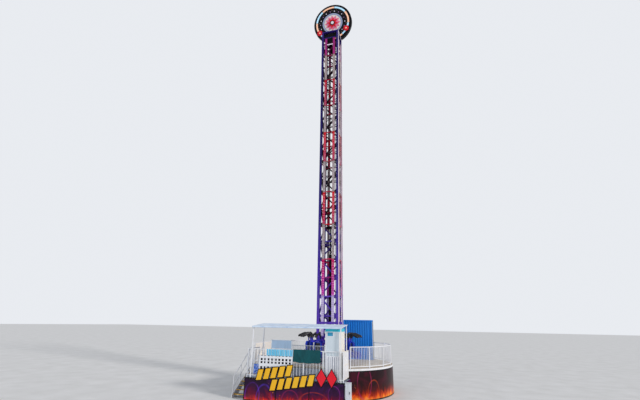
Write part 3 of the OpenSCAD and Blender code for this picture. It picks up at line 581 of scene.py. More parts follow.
BLACK = Paint("black", "#08070d", roughness=0.34, grime=0.12, grime_colour="#221e1c", coat=0.0, specular=0.12,
              chips=0.2, chip_colour="#383634")
DARK = Paint("dark", "#100d14", roughness=0.45, grime=0.2, grime_colour="#28221e", coat=0.0, specular=0.12,
             chips=0.3, chip_colour="#3c3a38")
BLUE = Paint("blue", "#1086ee", roughness=0.42, grime=0.15, grime_colour="#1458a0", coat=0.0, specular=0.15)
BOOTH = Paint("booth", "#ccd8e4", grime=0.2, grime_colour="#82888c", chip_colour="#8c9296")
TEAL = Paint("teal", "#28bed2", grime=0.15, grime_colour="#227884", coat=0.0, specular=0.2)
BOARD = Paint("board", "#93adc8", grime=0.2, grime_colour="#5d6a74")
GREY = Paint("grey", "#ccd1d8", grime=0.25, grime_colour="#75746f")
YELLOW = Paint("yellow", "#ffb400", grime=0.1, grime_colour="#a86c10", coat=0.0, specular=0.15)
RED = Paint("red", "#e00424", grime=0.1, grime_colour="#6a0c16", coat=0.0, specular=0.12)
PINK = Paint("pink", "#f0688f", grime=0.1, grime_colour="#a04a66")
PALE = Paint("pale", "#f4dcd2", grime=0.1, grime_colour="#a99a90")
MIST = Paint("mist", "#939dbe", grime=0.15, grime_colour="#555c70")
FLOOR = Paint("floor", "#dcdcda", roughness=0.85, grime=0.05, chips=0.0, grime_colour="#b9b7b2", coat=0.0)
ZINC, BOLT = Galvanised("zinc", "#9a9ea3"), Galvanised("bolt", "#b4b7bb")
CREAM = DeckCoat("cream", "#e9dcc6")
PODIUM, TREAD = TreadPlate("podium", "#a9b4c8"), TreadPlate("tread", "#8e9298", metallic=0.7)
SKIRT = GlowPrint("skirt", "#501028", glow=SKIRT_GLOW, round_wall=True, loops=SKIRT_LOOPS)
PANEL = GlowPrint("panel", "#4a1664", glow=PANEL_GLOW, height=1.2, spread=0.9, loops=PANEL_LOOPS)
CANOPY = Weave("canopy", "#dcecfd", seam=1.42)
BANNER = Weave("banner", "#085258", shade="#043a40", sheen=0.0)
SEAT = Moulded("seat", "#1a44dc")
FOAM = Moulded("foam", "#0e0e12", roughness=0.36, grain=420.0, coat=0.15)
RUBBER = Moulded("rubber", "#1c1c1e", roughness=0.6, grain=300.0, coat=0.0, scuffs=0.2)
PAD, ROPE, GLASS = Vinyl("pad", "#17171b"), WireRope("rope", "#26231f"), Pane("glass", "#10b8ea")
WARM, COOL = Lens("warm_lens", "#ffb47c"), Lens("cool_lens", "#a4e2ff")
PEARL, MAUVE = Lens("pearl_lens", "#f6ecff", glow=0.15), Lens("mauve_lens", "#b050c0", glow=0.15)


def dress(finish: Finish, *nodes: str) -> None:
    """Give CAD nodes a finish.

    Args:
        finish: The finish.
        nodes: Names of the CAD nodes.
    """
    for node in nodes:
        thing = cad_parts[node]
        if not thing.material_slots:
            thing.data.materials.append(None)
        for holder in thing.material_slots:
            holder.material = finish.material()
    LOG.info("dressed %s with %s", ", ".join(nodes), finish.name)


def put(name: str, data: bpy.types.ID) -> bpy.types.Object:
    """Put a new object with its data in the scene."""
    thing = bpy.data.objects.new(name, data)
    bpy.context.scene.collection.objects.link(thing)
    return thing


def plain_mesh(name: str, points: Points, edges: Iterable = (), faces: Iterable = ()) -> bpy.types.Mesh:
    """Return a mesh of plain points, edges and faces."""
    mesh = bpy.data.meshes.new(name)
    mesh.from_pydata([tuple(p) for p in points], edges, faces)
    return mesh


def apply(thing: bpy.types.Object) -> bpy.types.Object:
    """Turn an object's modifiers into plain mesh, and return the object."""
    deps = bpy.context.evaluated_depsgraph_get()
    plain = bpy.data.meshes.new_from_object(thing.evaluated_get(deps), depsgraph=deps)
    thing.modifiers.clear()
    thing.data = plain
    return thing


def settle(thing: bpy.types.Object, body: str = "tower") -> bpy.types.Object:
    """Set a finished object on a CAD body, log it, and return it."""
    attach(thing, body)
    LOG.info("made %s, %d faces, on %s", thing.name, len(thing.data.polygons), body)
    return thing


def turned(angle: float, axis: str = "Z") -> Matrix:
    """Return a turn by an angle in radians about an axis."""
    return Matrix.Rotation(angle, 4, axis)


def spin(degrees: float) -> Matrix:
    """Return a turn about the tower's axis."""
    return turned(math.radians(degrees))


def shifted(*offset: float) -> Matrix:
    """Return a shift along the three axes."""
    return Matrix.Translation(offset)


def upright(y: float) -> Matrix:
    """Return the space of a drawing that stands at a depth and faces -Y."""
    return Matrix(((1, 0, 0, 0), (0, 0, -1, y), (0, 1, 0, 0), (0, 0, 0, 1)))


HERE = Matrix()
QUARTERS = [spin(turn) for turn in (0, 90, 180, 270)]


class Build:
    """Gathers the faces of one piece and turns them into an object."""

    def __init__(self, name: str) -> None:
        """Start an empty piece with a name."""
        self.name = name
        self.mesh = bmesh.new()

    def block(self, low: Point, high: Point, bevel: float = 0.0, place: Matrix = HERE) -> None:
        """Add a box.

        Args:
            low: Lowest corner.
            high: Highest corner.
            bevel: Width of the bevelled edges.
            place: Turn and shift of the box.
        """
        low, high = Vector(low), Vector(high)
        shape = Matrix.Translation((low + high) / 2) @ Matrix.Diagonal((*(high - low), 1.0))
        verts = bmesh.ops.create_cube(self.mesh, size=1.0)["verts"]
        bmesh.ops.transform(self.mesh, matrix=place @ shape, verts=verts)
        if bevel:
            edges = list({e for v in verts for e in v.link_edges})
            bmesh.ops.bevel(self.mesh, geom=edges, offset=bevel, segments=1, affect="EDGES", profile=0.7)

    def loft(self, rings: Sequence[Points], closed: bool = False) -> None:
        """Join rings of equal length into a skin, with capped ends unless it runs round to its start."""
        made = [[self.mesh.verts.new(p) for p in ring] for ring in rings]
        pairs = list(zip(made, made[1:]))
        if closed:
            pairs.append((made[-1], made[0]))
        else:
            self.mesh.faces.new(made[0][::-1])
            self.mesh.faces.new(made[-1])
        for a, b in pairs:
            for i in range(len(a)):
                j = (i + 1) % len(a)
                self.mesh.faces.new((a[i], a[j], b[j], b[i]))

    def prism(self, outline: Points, depth: float, place: Matrix = HERE) -> None:
        """Add an outline drawn round the local Z axis, raised by a depth along it."""
        self.loft([[place @ Vector((x, y, z)) for x, y in outline] for z in (0.0, depth)])

    def tube(self, path: Points, radius: float | Sequence[float], sides: int = 12, place: Matrix = HERE) -> None:
        """Sweep a circle along a path.

        Args:
            path: Points of the centre line.
            radius: One radius, or one for each point.
            sides: Number of sides.
            place: Turn and shift of the tube.
        """
        line = [place @ Vector(p) for p in path]
        radii = [radius] * len(line) if isinstance(radius, float) else radius
        across = (line[1] - line[0]).normalized().orthogonal().normalized()
        rings = []
        for i, p in enumerate(line):
            along = (line[min(i + 1, len(line) - 1)] - line[max(i - 1, 0)]).normalized()
            across = (across - along * across.dot(along)).normalized()
            side = along.cross(across)
            turns = [math.tau * k / sides for k in range(sides)]
            rings.append([p + (across * math.cos(a) + side * math.sin(a)) * radii[i] for a in turns])
        self.loft(rings)

    def arc(self, section: Points, start: float = 0, end: float = 360, steps: int = 64,
            place: Matrix = HERE) -> None:
        """Turn a closed section of (radius, height) points about the local Z axis.

        Args:
            section: Points of the section.
            start: First angle in degrees.
            end: Last angle in degrees.
            steps: Number of steps between them.
            place: Turn and shift of the result.
        """
        full = end - start == 360
        angles = [math.radians(start + (end - start) * i / steps) for i in range(steps if full else steps + 1)]
        self.loft([[place @ Vector((r * math.cos(a), r * math.sin(a), z)) for r, z in section] for a in angles], full)

    def data(self) -> bpy.types.Mesh:
        """Return the gathered faces as a mesh."""
        mesh = bpy.data.meshes.new(self.name)
        self.mesh.to_mesh(mesh)
        self.mesh.free()
        return mesh

    def done(self, finish: Finish, slot: str, body: str = "tower", smooth: float = 0.0) -> bpy.types.Object:
        """Close the piece.

        Args:
            finish: Its finish.
            slot: Not used.
            body: The CAD body that it rides on.
            smooth: Angle in degrees up to which edges are smooth, or 0 for flat faces.

        Returns:
            The new object.
        """
        bmesh.ops.recalc_face_normals(self.mesh, faces=self.mesh.faces[:])
        mesh = self.data()
        mesh.materials.append(finish.material())
        if smooth:
            mesh.shade_smooth()
            mesh.set_sharp_from_angle(angle=math.radians(smooth))
        return settle(put(self.name, mesh), body)


class Stud(Enum):
    """Shape that a stud tree sets on each point, by its number of sides."""

    HEX = 6
    DISC = 12
    DOME = 0


class Grower:
    """Holds a Geometry Nodes tree and grows pieces from plain points or lines with it."""

    def __init__(self, name: str, *sizes: str) -> None:
        """Start a tree with a geometry input, named sizes and a seed."""
        self.tree = bpy.data.node_groups.new(name, "GeometryNodeTree")
        kinds = {"Geometry": "Geometry", **dict.fromkeys(sizes, "Float"), "Seed": "Int"}
        for label, kind in kinds.items():
            self.tree.interface.new_socket(label, in_out="INPUT", socket_type=f"NodeSocket{kind}")
        self.tree.interface.new_socket("Geometry", in_out="OUTPUT", socket_type="NodeSocketGeometry")
        self.graph = Graph(self.tree)
        given = self.graph.node("NodeGroupInput").outputs
        self.given = {label: Wire(self.graph, given[label]) for label in kinds}

    def close(self, shape: Wire, finish: Finish) -> None:
        """End the tree in plain geometry with a finish."""
        plain = self.graph.add("GeometryNodeRealizeInstances", {0: shape})
        inputs = {"Geometry": plain, "Material": finish.material()}
        self.graph.node("NodeGroupOutput", {0: self.graph.add("GeometryNodeSetMaterial", inputs)})

    def grow(self, mesh: bpy.types.Mesh, **values: float) -> bpy.types.Object:
        """Run the tree on a mesh and keep the result as a plain mesh.

        Args:
            mesh: Points or lines that the tree reads, with the new piece's name.
            values: Sizes and the seed by the input's name.

        Returns:
            The new object, without a modifier.
        """
        thing = put(mesh.name, mesh)
        modifier = thing.modifiers.new("grow", "NODES")
        modifier.node_group = self.tree
        for item in self.tree.interface.items_tree:
            if item.in_out == "INPUT" and item.name in values:
                modifier[item.identifier] = values[item.name]
        return apply(thing)


class StudGrower(Grower):
    """Sets one stud on each point, along the point's axis, turned by a fixed random amount."""

    def __init__(self, shape: Stud, finish: Finish) -> None:
        """Build the tree for one shape and finish."""
        super().__init__(f"studs_{shape.name.lower()}_{finish.name}", "Radius", "Height")
        graph, radius, height = self.graph, self.given["Radius"], self.given["Height"]
        dome = shape is Stud.DOME
        if dome:
            solid = graph.add("GeometryNodeMeshIcoSphere", {"Radius": 1.0, "Subdivisions": 2})
        else:
            solid = graph.add("GeometryNodeMeshCylinder", {"Vertices": shape.value, "Radius": 1.0, "Depth": 1.0})
        inputs = {"Geometry": solid, "Translation": graph.join(0.0, 0.0, 0.0 if dome else height * 0.5),
                  "Scale": graph.join(radius, radius, height)}
        solid = graph.add("GeometryNodeTransform", inputs)
        solid = graph.add("GeometryNodeSetShadeSmooth", {"Geometry": solid, "Shade Smooth": dome})
        axis = graph.add("GeometryNodeInputNamedAttribute", {"Name": "axis"}, data_type="FLOAT_VECTOR")
        aim = graph.add("FunctionNodeAlignRotationToVector", {"Vector": axis}, axis="Z")
        angle = graph.add("FunctionNodeRandomValue", {3: math.tau, 8: self.given["Seed"]}, 1, data_type="FLOAT")
        turn = graph.add("FunctionNodeAxisAngleToRotation", {"Axis": (0.0, 0.0, 1.0), "Angle": angle})
        aim = graph.add("FunctionNodeRotateRotation", {"Rotation": aim, "Rotate By": turn}, rotation_space="LOCAL")
        inputs = {"Points": self.given["Geometry"], "Instance": solid, "Rotation": aim}
        self.close(graph.add("GeometryNodeInstanceOnPoints", inputs), finish)


class PipeGrower(Grower):
    """Turns lines into round bars."""

    def __init__(self, finish: Finish) -> None:
        """Build the tree for one finish."""
        super().__init__(f"pipes_{finish.name}", "Radius")
        line = self.graph.add("GeometryNodeMeshToCurve", {"Mesh": self.given["Geometry"]})
        ring = self.graph.add("GeometryNodeCurvePrimitiveCircle", {"Resolution": 8, "Radius": self.given["Radius"]})
        inputs = {"Curve": line, "Profile Curve": ring, "Fill Caps": True}
        pipe = self.graph.add("GeometryNodeCurveToMesh", inputs)
        self.close(self.graph.add("GeometryNodeSetShadeSmooth", {"Geometry": pipe, "Shade Smooth": True}), finish)


@cache
def grower(kind: type[Grower], *given: Any) -> Grower:
    """Return the grower of a kind for a shape and finish, made at the first call."""
    return kind(*given)


def facing(points: Points, out: Point = (0, -1, 0), places: Sequence[Matrix] = QUARTERS) -> Spots:
    """Repeat points for studs in one or more spaces.

    Args:
        points: Points in each of the spaces.
        out: Direction in which the studs point there.
        places: The spaces.

    Returns:
        Pairs of a point and a direction.
    """
    return [(place @ Vector(p), place.to_3x3() @ Vector(out)) for place in places for p in points]


def round_spots(radius: float, angles: Iterable[float], heights: Sequence[float]) -> Spots:
    """Return spots on an upright round wall, which point away from its axis.

    Args:
        radius: Radius of the wall.
        angles: Angles in degrees.
        heights: Heights at each angle.

    Returns:
        Pairs of a point and a direction.
    """
    outs = [Vector((math.cos(math.radians(a)), math.sin(math.radians(a)), 0)) for a in angles]
    return [(out * radius + Vector((0, 0, z)), out) for out in outs for z in heights]


def studs(name: str, spots: Spots, radius: float, height: float, shape: Stud = Stud.HEX, finish: Finish = BOLT,
          body: str = "tower") -> None:
    """Set studs on places as one piece.

    Args:
        name: The new piece's name.
        spots: Pairs of a place and the direction in which the stud points.
        radius: Radius of a stud.
        height: Height of a stud above its place.
        shape: Shape of the studs.
        finish: Their finish.
        body: The CAD body that they ride on.
    """
    mesh = plain_mesh(name, [p for p, _ in spots])
    axis = mesh.attributes.new("axis", "FLOAT_VECTOR", "POINT")
    axis.data.foreach_set("vector", np.array([tuple(a) for _, a in spots], np.float32).ravel())
    settle(grower(StudGrower, shape, finish).grow(mesh, Radius=radius, Height=height, Seed=7), body)


def pipes(name: str, lines: Sequence[Points], radius: float, finish: Finish) -> None:
    """Make round bars along lines as one piece of the tower's body.

    Args:
        name: The new piece's name.
        lines: Each line's points.
        radius: Radius of the bars.
        finish: Their finish.
    """
    points, edges = [], []
    for line in lines:
        edges += [(len(points) + i, len(points) + i + 1) for i in range(len(line) - 1)]
        points += line
    settle(grower(PipeGrower, finish).grow(plain_mesh(name, points, edges), Radius=radius, Seed=1))


@dataclass
class Tower:
    """Lattice tower with its light strips, section joints and inner ladder."""

    half: float = 0.81
    chord: float = 0.72
    first: float = 0.70
    bay: float = 1.375
    bays: int = 21
    zone: float = 2.75
    zones: int = 10
    strip_at: float = 0.385
    strip_face: float = 0.79
    lamp_pitch: float = 0.125
    gusset: float = 0.19

    def build(self) -> None:
        """Dress the CAD nodes and add the tower's small pieces."""
        dress(PURPLE, "tower_chords", "head_frame")
        dress(ZONED, "lattice_front", "lattice_right", "lattice_back", "lattice_left")
        dress(STRIPS, "light_strips")
        dress(DARK, "lift_cylinder", "head_sheaves")
        dress(BLACK, "head_housing")
        dress(ROPE, "hoist_ropes")
        dress(ZINC, "base_frame")
        for add in (self.lamps, self.joints, self.gussets, self.bracing, self.ladder, self.belts, self.head):
            add()

    def belts(self) -> None:
        """Close each face with channel beams over the gondola's rest place and under the head."""
        belts = Build("tower_belts")
        back, front, half_l = -0.792, -0.809, 0.628
        along = Matrix(((0, 0, 1, -half_l), (1, 0, 0, 0), (0, 1, 0, 0), (0, 0, 0, 1)))
        for place, (low, high) in product(QUARTERS, ((4.28, 4.43), (30.24, 30.335))):
            section = [(back, low), (back, high), (front, high), (front, high - 0.02), (front + 0.006, high - 0.026),
                       (front + 0.006, low + 0.026), (front, low + 0.02), (front, low)]
            belts.prism(section, half_l * 2, place @ along)
        belts.done(PURPLE, "purple_paint")
        bars = Build("cable_bars")
        for place in QUARTERS[::2]:
            bars.block((-0.283, -0.79, 29.44), (0.283, -0.752, 29.54), 0.006, place)
            for x in (-0.2, 0.16):
                bars.block((x, -0.752, 29.46), (x + 0.04, -0.60, 29.52), 0.004, place)
        bars.done(LILAC, "purple_paint")

    def lamps(self) -> None:
        """Set two rows of lamp caps on every light strip."""
        rows = range(int((self.zone - 0.15) / self.lamp_pitch))
        points = [(side * self.strip_at + dx, -self.strip_face, self.first + k * self.zone + 0.1 + i * self.lamp_pitch)
                  for side, k, i, dx in product((-1, 1), range(1, self.zones), rows, (-0.05, 0.05))]
        studs("strip_lamps", facing(points), 0.014, 0.004, Stud.DISC, PEARL)

    def joints(self) -> None:
        """Bolt the tower's sections together beside the roller tracks."""
        seams, spots = Build("section_seams"), []
        track, half_w, half_l, sides = 0.066, 0.019, 0.27, (-self.chord, self.chord)
        for z in [self.first + 2 * k * self.zone for k in range(1, 5)]:
            spots += facing([(x + dx, -self.half, z + dz) for x, dx, dz in product(
                sides, (-track, track), (-0.22, -0.14, -0.06, 0.06, 0.14, 0.22))])
            for place, x, dx in product(QUARTERS, sides, (-track, track)):
                seams.block((x + dx - half_w, -self.half - 0.004, z - half_l),
                            (x + dx + half_w, -self.half + 0.001, z + half_l), 0.002, place)
        studs("section_bolts", spots, 0.014, 0.012)
        seams.done(PURPLE, "purple_paint")

    def gussets(self) -> None:
        """Weld a gusset plate into each corner between a chord and a lattice bar."""
        plates, spots, g = Build("lattice_gussets"), [], self.gusset
        for place, k, side in product(QUARTERS, range(self.bays + 1), (-1, 1)):
            z, inner = self.first + k * self.bay, side * 0.63
            shape = [(inner, z - g), (inner - side * g, z - 0.03), (inner - side * g, z + 0.03), (inner, z + g)]
            plates.prism(shape, 0.008, place @ upright(-0.751))
            spots += facing([(inner - side * dx, -0.759, z + dz) for dx, dz in (
                (0.05, 0.0), (0.13, 0.0), (0.04, 0.09), (0.04, -0.09))], places=[place])
        plates.done(DIAGONAL, "zoned_paint")
        studs("gusset_bolts", spots, 0.012, 0.009)

    def bracing(self) -> None:
        """Add the inner legs of the angle diagonals, and a diamond of plan bars at every level."""
        legs, plan = Build("diagonal_legs"), Build("plan_bars")
        wide, reach, wall, face, clear = 0.052, 0.0632, 0.008, -0.6895, 1.26
        lean, long = math.atan2(self.bay, clear), math.hypot(self.bay, clear) / 2 - 0.07
        for turn, k in product(QUARTERS, range(self.bays)):
            place = turn @ shifted(0, 0, self.first + (k + 0.5) * self.bay) @ turned(lean if k % 2 else -lean, "Y")
            legs.block((-long, face, -wide), (long, face + wall, wide), 0.002, place)
            legs.block((-long, face + wall, wide - wall), (long, face + wall + reach, wide), 0.002, place)
        for k, turn in product(range(1, self.bays + 1), QUARTERS):
            place = spin(45) @ turn @ shifted(0, -0.470, self.first + k * self.bay)
            plan.block((-0.455, -0.022, -0.022), (0.455, 0.022, 0.022), 0.004, place)
            for x in (-0.475, 0.375):
                plan.block((x, -0.04, 0.022), (x + 0.1, 0.04, 0.030), 0.002, place)
        legs.done(DIAGONAL, "zoned_paint")
        plan.done(DIAGONAL, "zoned_paint")

    def ladder(self) -> None:
        """Hang a maintenance ladder inside the back of the tower."""
        low, high, x, y, w = 0.4, 29.6, 0.25, 0.58, 0.36
        rails = [[(x + dx, y, low), (x + dx, y, high)] for dx in (0.0, w)]
        ties = [[(x + dx, at, self.first + k * self.bay) for at in (y, 0.70)]
                for k, dx in product(range(self.bays), (0.0, w))]
        pipes("ladder_rails", rails + ties, 0.018, ZINC)
        rungs = facing([(x, y, low + 0.3 + i * 0.29) for i in range(100)], (1, 0, 0), [HERE])
        studs("ladder_rungs", rungs, 0.012, w, Stud.DISC, ZINC)

    def head(self) -> None:
        """Trim the head frame and the dark sheave housing."""
        points = [(-0.56 + i * 0.14, -0.63, z) for i, z in product(range(9), (30.39, 30.93))]
        studs("housing_bolts", facing(points), 0.013, 0.01)
        louvres = Build("housing_louvres")
        for place, i in product(QUARTERS, range(7)):
            tilt = shifted(0, -0.634, 30.45 + i * 0.069) @ turned(0.5, "X")
            louvres.block((-0.3, -0.012, -0.028), (0.3, 0.004, 0.02), 0.003, place @ tilt)
        louvres.done(DARK, "black_paint")


@dataclass
class Sign:
    """Round tilted sign with its ring of light boxes and a plain star of many points."""

    radius: float = 1.94
    rim: float = 0.21
    half_t: float = 0.23
    field: float = 0.19
    tilt: float = 15.0
    boxes: int = 8

    def build(self) -> None:
        """Dress the disc and add what stands on its two faces, each with +Z out of it and +Y up."""
        dress(BLACK, "sign_drum", "sign_ring")
        dress(PURPLE, "sign_frame")
        low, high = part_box("sign_drum")
        self.front = Matrix.Translation((low + high) / 2) @ turned(math.radians(90 + self.tilt), "X")
        self.faces = [self.front, self.front @ turned(math.pi, "Y")]
        for add in (self.light_boxes, self.star, self.dots, self.rosettes, self.edge):
            add()

    def light_boxes(self) -> None:
        """Set the alternating light boxes into the ring."""
        low, high, step = self.radius - self.rim - 0.185, self.radius - self.rim - 0.025, 360 / self.boxes
        section = [(low, self.half_t - 0.01), (high, self.half_t - 0.01), (high, self.half_t + 0.02),
                   (high - 0.03, self.half_t + 0.035), (low + 0.03, self.half_t + 0.035), (low, self.half_t + 0.02)]
        for finish, first in ((WARM, 0), (COOL, 1)):
            piece = Build(f"sign_boxes_{finish.name[:4]}")
            for i, face in product(range(first, self.boxes, 2), self.faces):
                start = 80 + i * step
                piece.arc(section, start + 0.6, start + step - 0.6, 14, face)
            piece.done(finish, "sign_face", smooth=40)

    def star(self) -> None:
        """Build the plain star in layers on a pale disc, on both faces."""
        for side, face in zip(("front", "back"), self.faces):
            face = face @ shifted(0, 0, self.field)
            for name, finish, inner, outer, high in (("disc", PALE, 0.001, 0.86, 0.03),
                                                     ("band", MIST, 0.88, 1.03, 0.035)):
                piece = Build(f"sign_{name}_{side}")
                piece.arc([(inner, 0), (outer, 0), (outer, high), (inner, high)], place=face)
                piece.done(finish, "sign_face", smooth=40)
            for finish, points, outer, inner, low, high, turn in (
                    (PINK, 12, 0.8, 0.56, 0.03, 0.06, 0), (RED, 8, 0.6, 0.33, 0.06, 0.09, 11),
                    (BLACK, 8, 0.3, 0.2, 0.09, 0.11, 0), (WHITE, 12, 0.17, 0.135, 0.11, 0.13, 0)):
                angles = [math.radians(turn + 180 * i / points) for i in range(points * 2)]
                star = [((inner if i % 2 else outer) * math.sin(a), (inner if i % 2 else outer) * math.cos(a))
                        for i, a in enumerate(angles)]
                piece = Build(f"sign_star_{side}_{finish.name}")
                piece.prism(star[::-1], high - low, face @ shifted(0, 0, low))
                piece.done(finish, "sign_face")

    def dots(self) -> None:
        """Set small lamps on the black field and round the rim."""
        for finish, radius, count, size, start in ((PEARL, 1.26, 9, 0.05, 12), (MAUVE, 1.26, 9, 0.04, 32),
                                                   (WARM, 1.40, 18, 0.018, 0)):
            spots = []
            for i in range(count):
                a = math.radians(start + i * 360 / count)
                spots += facing([(radius * math.sin(a), radius * math.cos(a), self.field)], (0, 0, 1), self.faces)
            studs(f"sign_dots_{finish.name[:4]}", spots, size, size * 0.6, Stud.DOME, finish)

    def rosettes(self) -> None:
        """Set two petal lamps over the lower rim."""
        petal = [(0.05, -0.05), (0.2, -0.1), (0.28, -0.05), (0.28, 0.05), (0.2, 0.1), (0.05, 0.05)]
        for side, angle in (("left", -122), ("right", 122)):
            a = math.radians(angle)
            face = self.front @ shifted(1.6 * math.sin(a), 1.6 * math.cos(a), self.half_t + 0.03)
            piece = Build(f"sign_rosette_{side}")
            for i in range(8):
                piece.prism(petal, 0.05 + 0.012 * (i % 2), face @ turned(math.tau * i / 8))
            piece.done(RED, "sign_face")
            lamp = facing([(0, 0, 0.05)], (0, 0, 1), [face])
            studs(f"sign_rosette_lamp_{side}", lamp, 0.09, 0.06, Stud.DOME, WARM)

    def edge(self) -> None:
        """Bolt the rim's cover strips."""
        spots = round_spots(self.radius, [90 - 9 * i for i in range(40)], (-0.12, 0.12))
        spots = [(self.front @ p, self.front.to_3x3() @ out) for p, out in spots]
        studs("sign_rim_bolts", spots, 0.014, 0.008)


@dataclass
class Deck:
    """Round boarding deck with its skirt."""

    radius: float = 4.4
    height: float = 1.76
    front_angle: float = 61.04

    def build(self) -> None:
        """Dress the deck and add its trims."""
        dress(CREAM, "deck_plates")
        dress(WHITE, "deck_lip")
        dress(SKIRT, "deck_skirt")
        dress(ZINC, "deck_frame")
        self.screws()
        self.skirt_trim()

    def screws(self) -> None:
        """Screw the deck plates down along two circles, clear of the front edge and the landing."""
        points = [(radius * math.cos(math.tau * i / count), radius * math.sin(math.tau * i / count), self.height)
                  for radius, count in ((1.32, 40), (4.2, 96)) for i in range(count)]
        points = [p for p in points if p[1] > -3.7 and not (p[0] < -3.55 and -2.55 < p[1] < 1.65)]
        studs("deck_screws", facing(points, (0, 0, 1), [HERE]), 0.016, 0.003, Stud.DISC)

    def skirt_trim(self) -> None:
        """Run a slim rail along the top and foot of the round skirt, and screw the rails on."""
        rails = Build("skirt_rails")
        inner, outer = self.radius - 0.011, self.radius - 0.004
        for (start, end), low in product(((-self.front_angle + 0.6, 158.6), (214.7, 240.4)), (0.03, 1.59)):
            section = [(inner, low), (outer, low), (outer, low + 0.05), (inner, low + 0.05)]
            rails.arc(section, start, end, int((end - start) / 2))
        rails.done(DARK, "black_paint", smooth=40)
        angles = [-59.4 + i * 2.4 for i in range(90)]
        studs("skirt_screws", round_spots(outer, angles, (0.055, 1.615)), 0.009, 0.004, Stud.DISC)


def ribbed(piece: Build, start: Point, run: Point, out: Point,
           height: tuple[float, float], pitch: float) -> None:
    """Add an upright ribbed sheet to a piece.

    Args:
        piece: The piece.
        start: Plan place of the sheet's first end.
        run: Plan vector from its first to its last end.
        out: Plan direction in which the ribs stand out.
        height: Heights of its foot and top.
        pitch: Wished distance of the ribs.
    """
    count = round(math.hypot(*run) / pitch)
    near, far = [], []
    for i in range(count):
        for part, rise in ((0.0, 0.0), (0.5, 0.0), (0.56, 0.007), (0.94, 0.007)):
            x, y = (start[k] + run[k] * (i + part) / count + out[k] * rise for k in (0, 1))
            near.append((x, y))
            far.append((x + out[0] * 0.003, y + out[1] * 0.003))
    piece.prism(near + far[::-1], height[1] - height[0], Matrix.Translation((0, 0, height[0])))


@dataclass
class Podium:
    """Front podium with its printed panel and a row of plain slanting plates."""

    left: float = -3.8
    right: float = 2.25
    front: float = -5.5
    height: float = 1.24

    def build(self) -> None:
        """Dress the podium and add its trims and plates."""
        dress(PODIUM, "podium_floor")
        dress(PANEL, "podium_skirt")
        dress(ZINC, "podium_frame")
        self.trim()
        self.plates()

    def trim(self) -> None:
        """Frame the front panel and cover the floor's edge."""
        edge = Build("podium_edge")
        edge.block((self.left, self.front - 0.012, self.height - 0.07), (self.right, self.front, self.height), 0.003)
        edge.block((self.left, self.front - 0.012, 0.03), (self.right, self.front, 0.08), 0.003)
        for x in (self.left, self.left + 2.0, self.left + 4.0, self.right - 0.05):
            edge.block((x, self.front - 0.01, 0.08), (x + 0.05, self.front, self.height - 0.07), 0.002)
        edge.done(DARK, "black_paint")
        spots = []
        for i in range(41):
            for z in (0.055, self.height - 0.035):
                spots.append(((self.left + 0.06 + i * 0.148, self.front - 0.012, z), (0, -1, 0)))
        studs("podium_screws", spots, 0.009, 0.004, Stud.DISC)
        riser = Build("riser_sheet")
        ribbed(riser, (-2.06, -3.852), (4.12, 0.0), (0.0, -1.0), (1.25, 1.69), 0.2)
        riser.done(WHITE, "white_paint")

    def plates(self) -> None:
        """Stand plain slanting plates in front of the panel, each with a dark backing plate."""
        stand = upright(self.front - 0.012)
        back, face, red = Build("plate_backs"), Build("slant_plates"), Build("lozenge_plates")
        straps = Build("plate_straps")
        for x0, z0, count in ((-3.05, 1.12, 5), (-2.15, 0.62, 6)):
            for i in range(count):
                x, z, slant = x0 + i * 0.45, z0 + i * 0.07, 0.14
                for piece, grow, depth, lift in ((back, 0.045, 0.012, 0.0), (face, 0.0, 0.014, 0.012)):
                    shape = [(x - grow, z - grow), (x + 0.31 + grow, z - grow + 0.03),
                             (x + 0.31 + slant + grow, z + 0.56 + grow + 0.03), (x + slant - grow, z + 0.56 + grow)]
                    piece.prism(shape, depth, stand @ Matrix.Translation((0, 0, lift)))
                straps.block((x + 0.16, self.front - 0.012, self.height - 0.12),
                             (x + 0.2, self.front - 0.003, z + 0.4), 0.002)
        for i in range(2):
            x, z = 0.93 + i * 0.60, 1.42
            for piece, r, depth, lift in ((back, 0.41, 0.012, 0.0), (red, 0.35, 0.016, 0.012)):
                shape = [(x - r * 0.8, z), (x, z - r * 1.25), (x + r * 0.8, z), (x, z + r * 1.25)]
                piece.prism(shape, depth, stand @ Matrix.Translation((0, 0, lift)))
            straps.block((x - 0.02, self.front - 0.012, self.height - 0.12),
                         (x + 0.02, self.front - 0.003, z + 0.2), 0.002)
        straps.done(DARK, "black_paint")
        back.done(BLACK, "black_paint")
        face.done(YELLOW, "printed_skirt")
        red.done(RED, "printed_skirt")


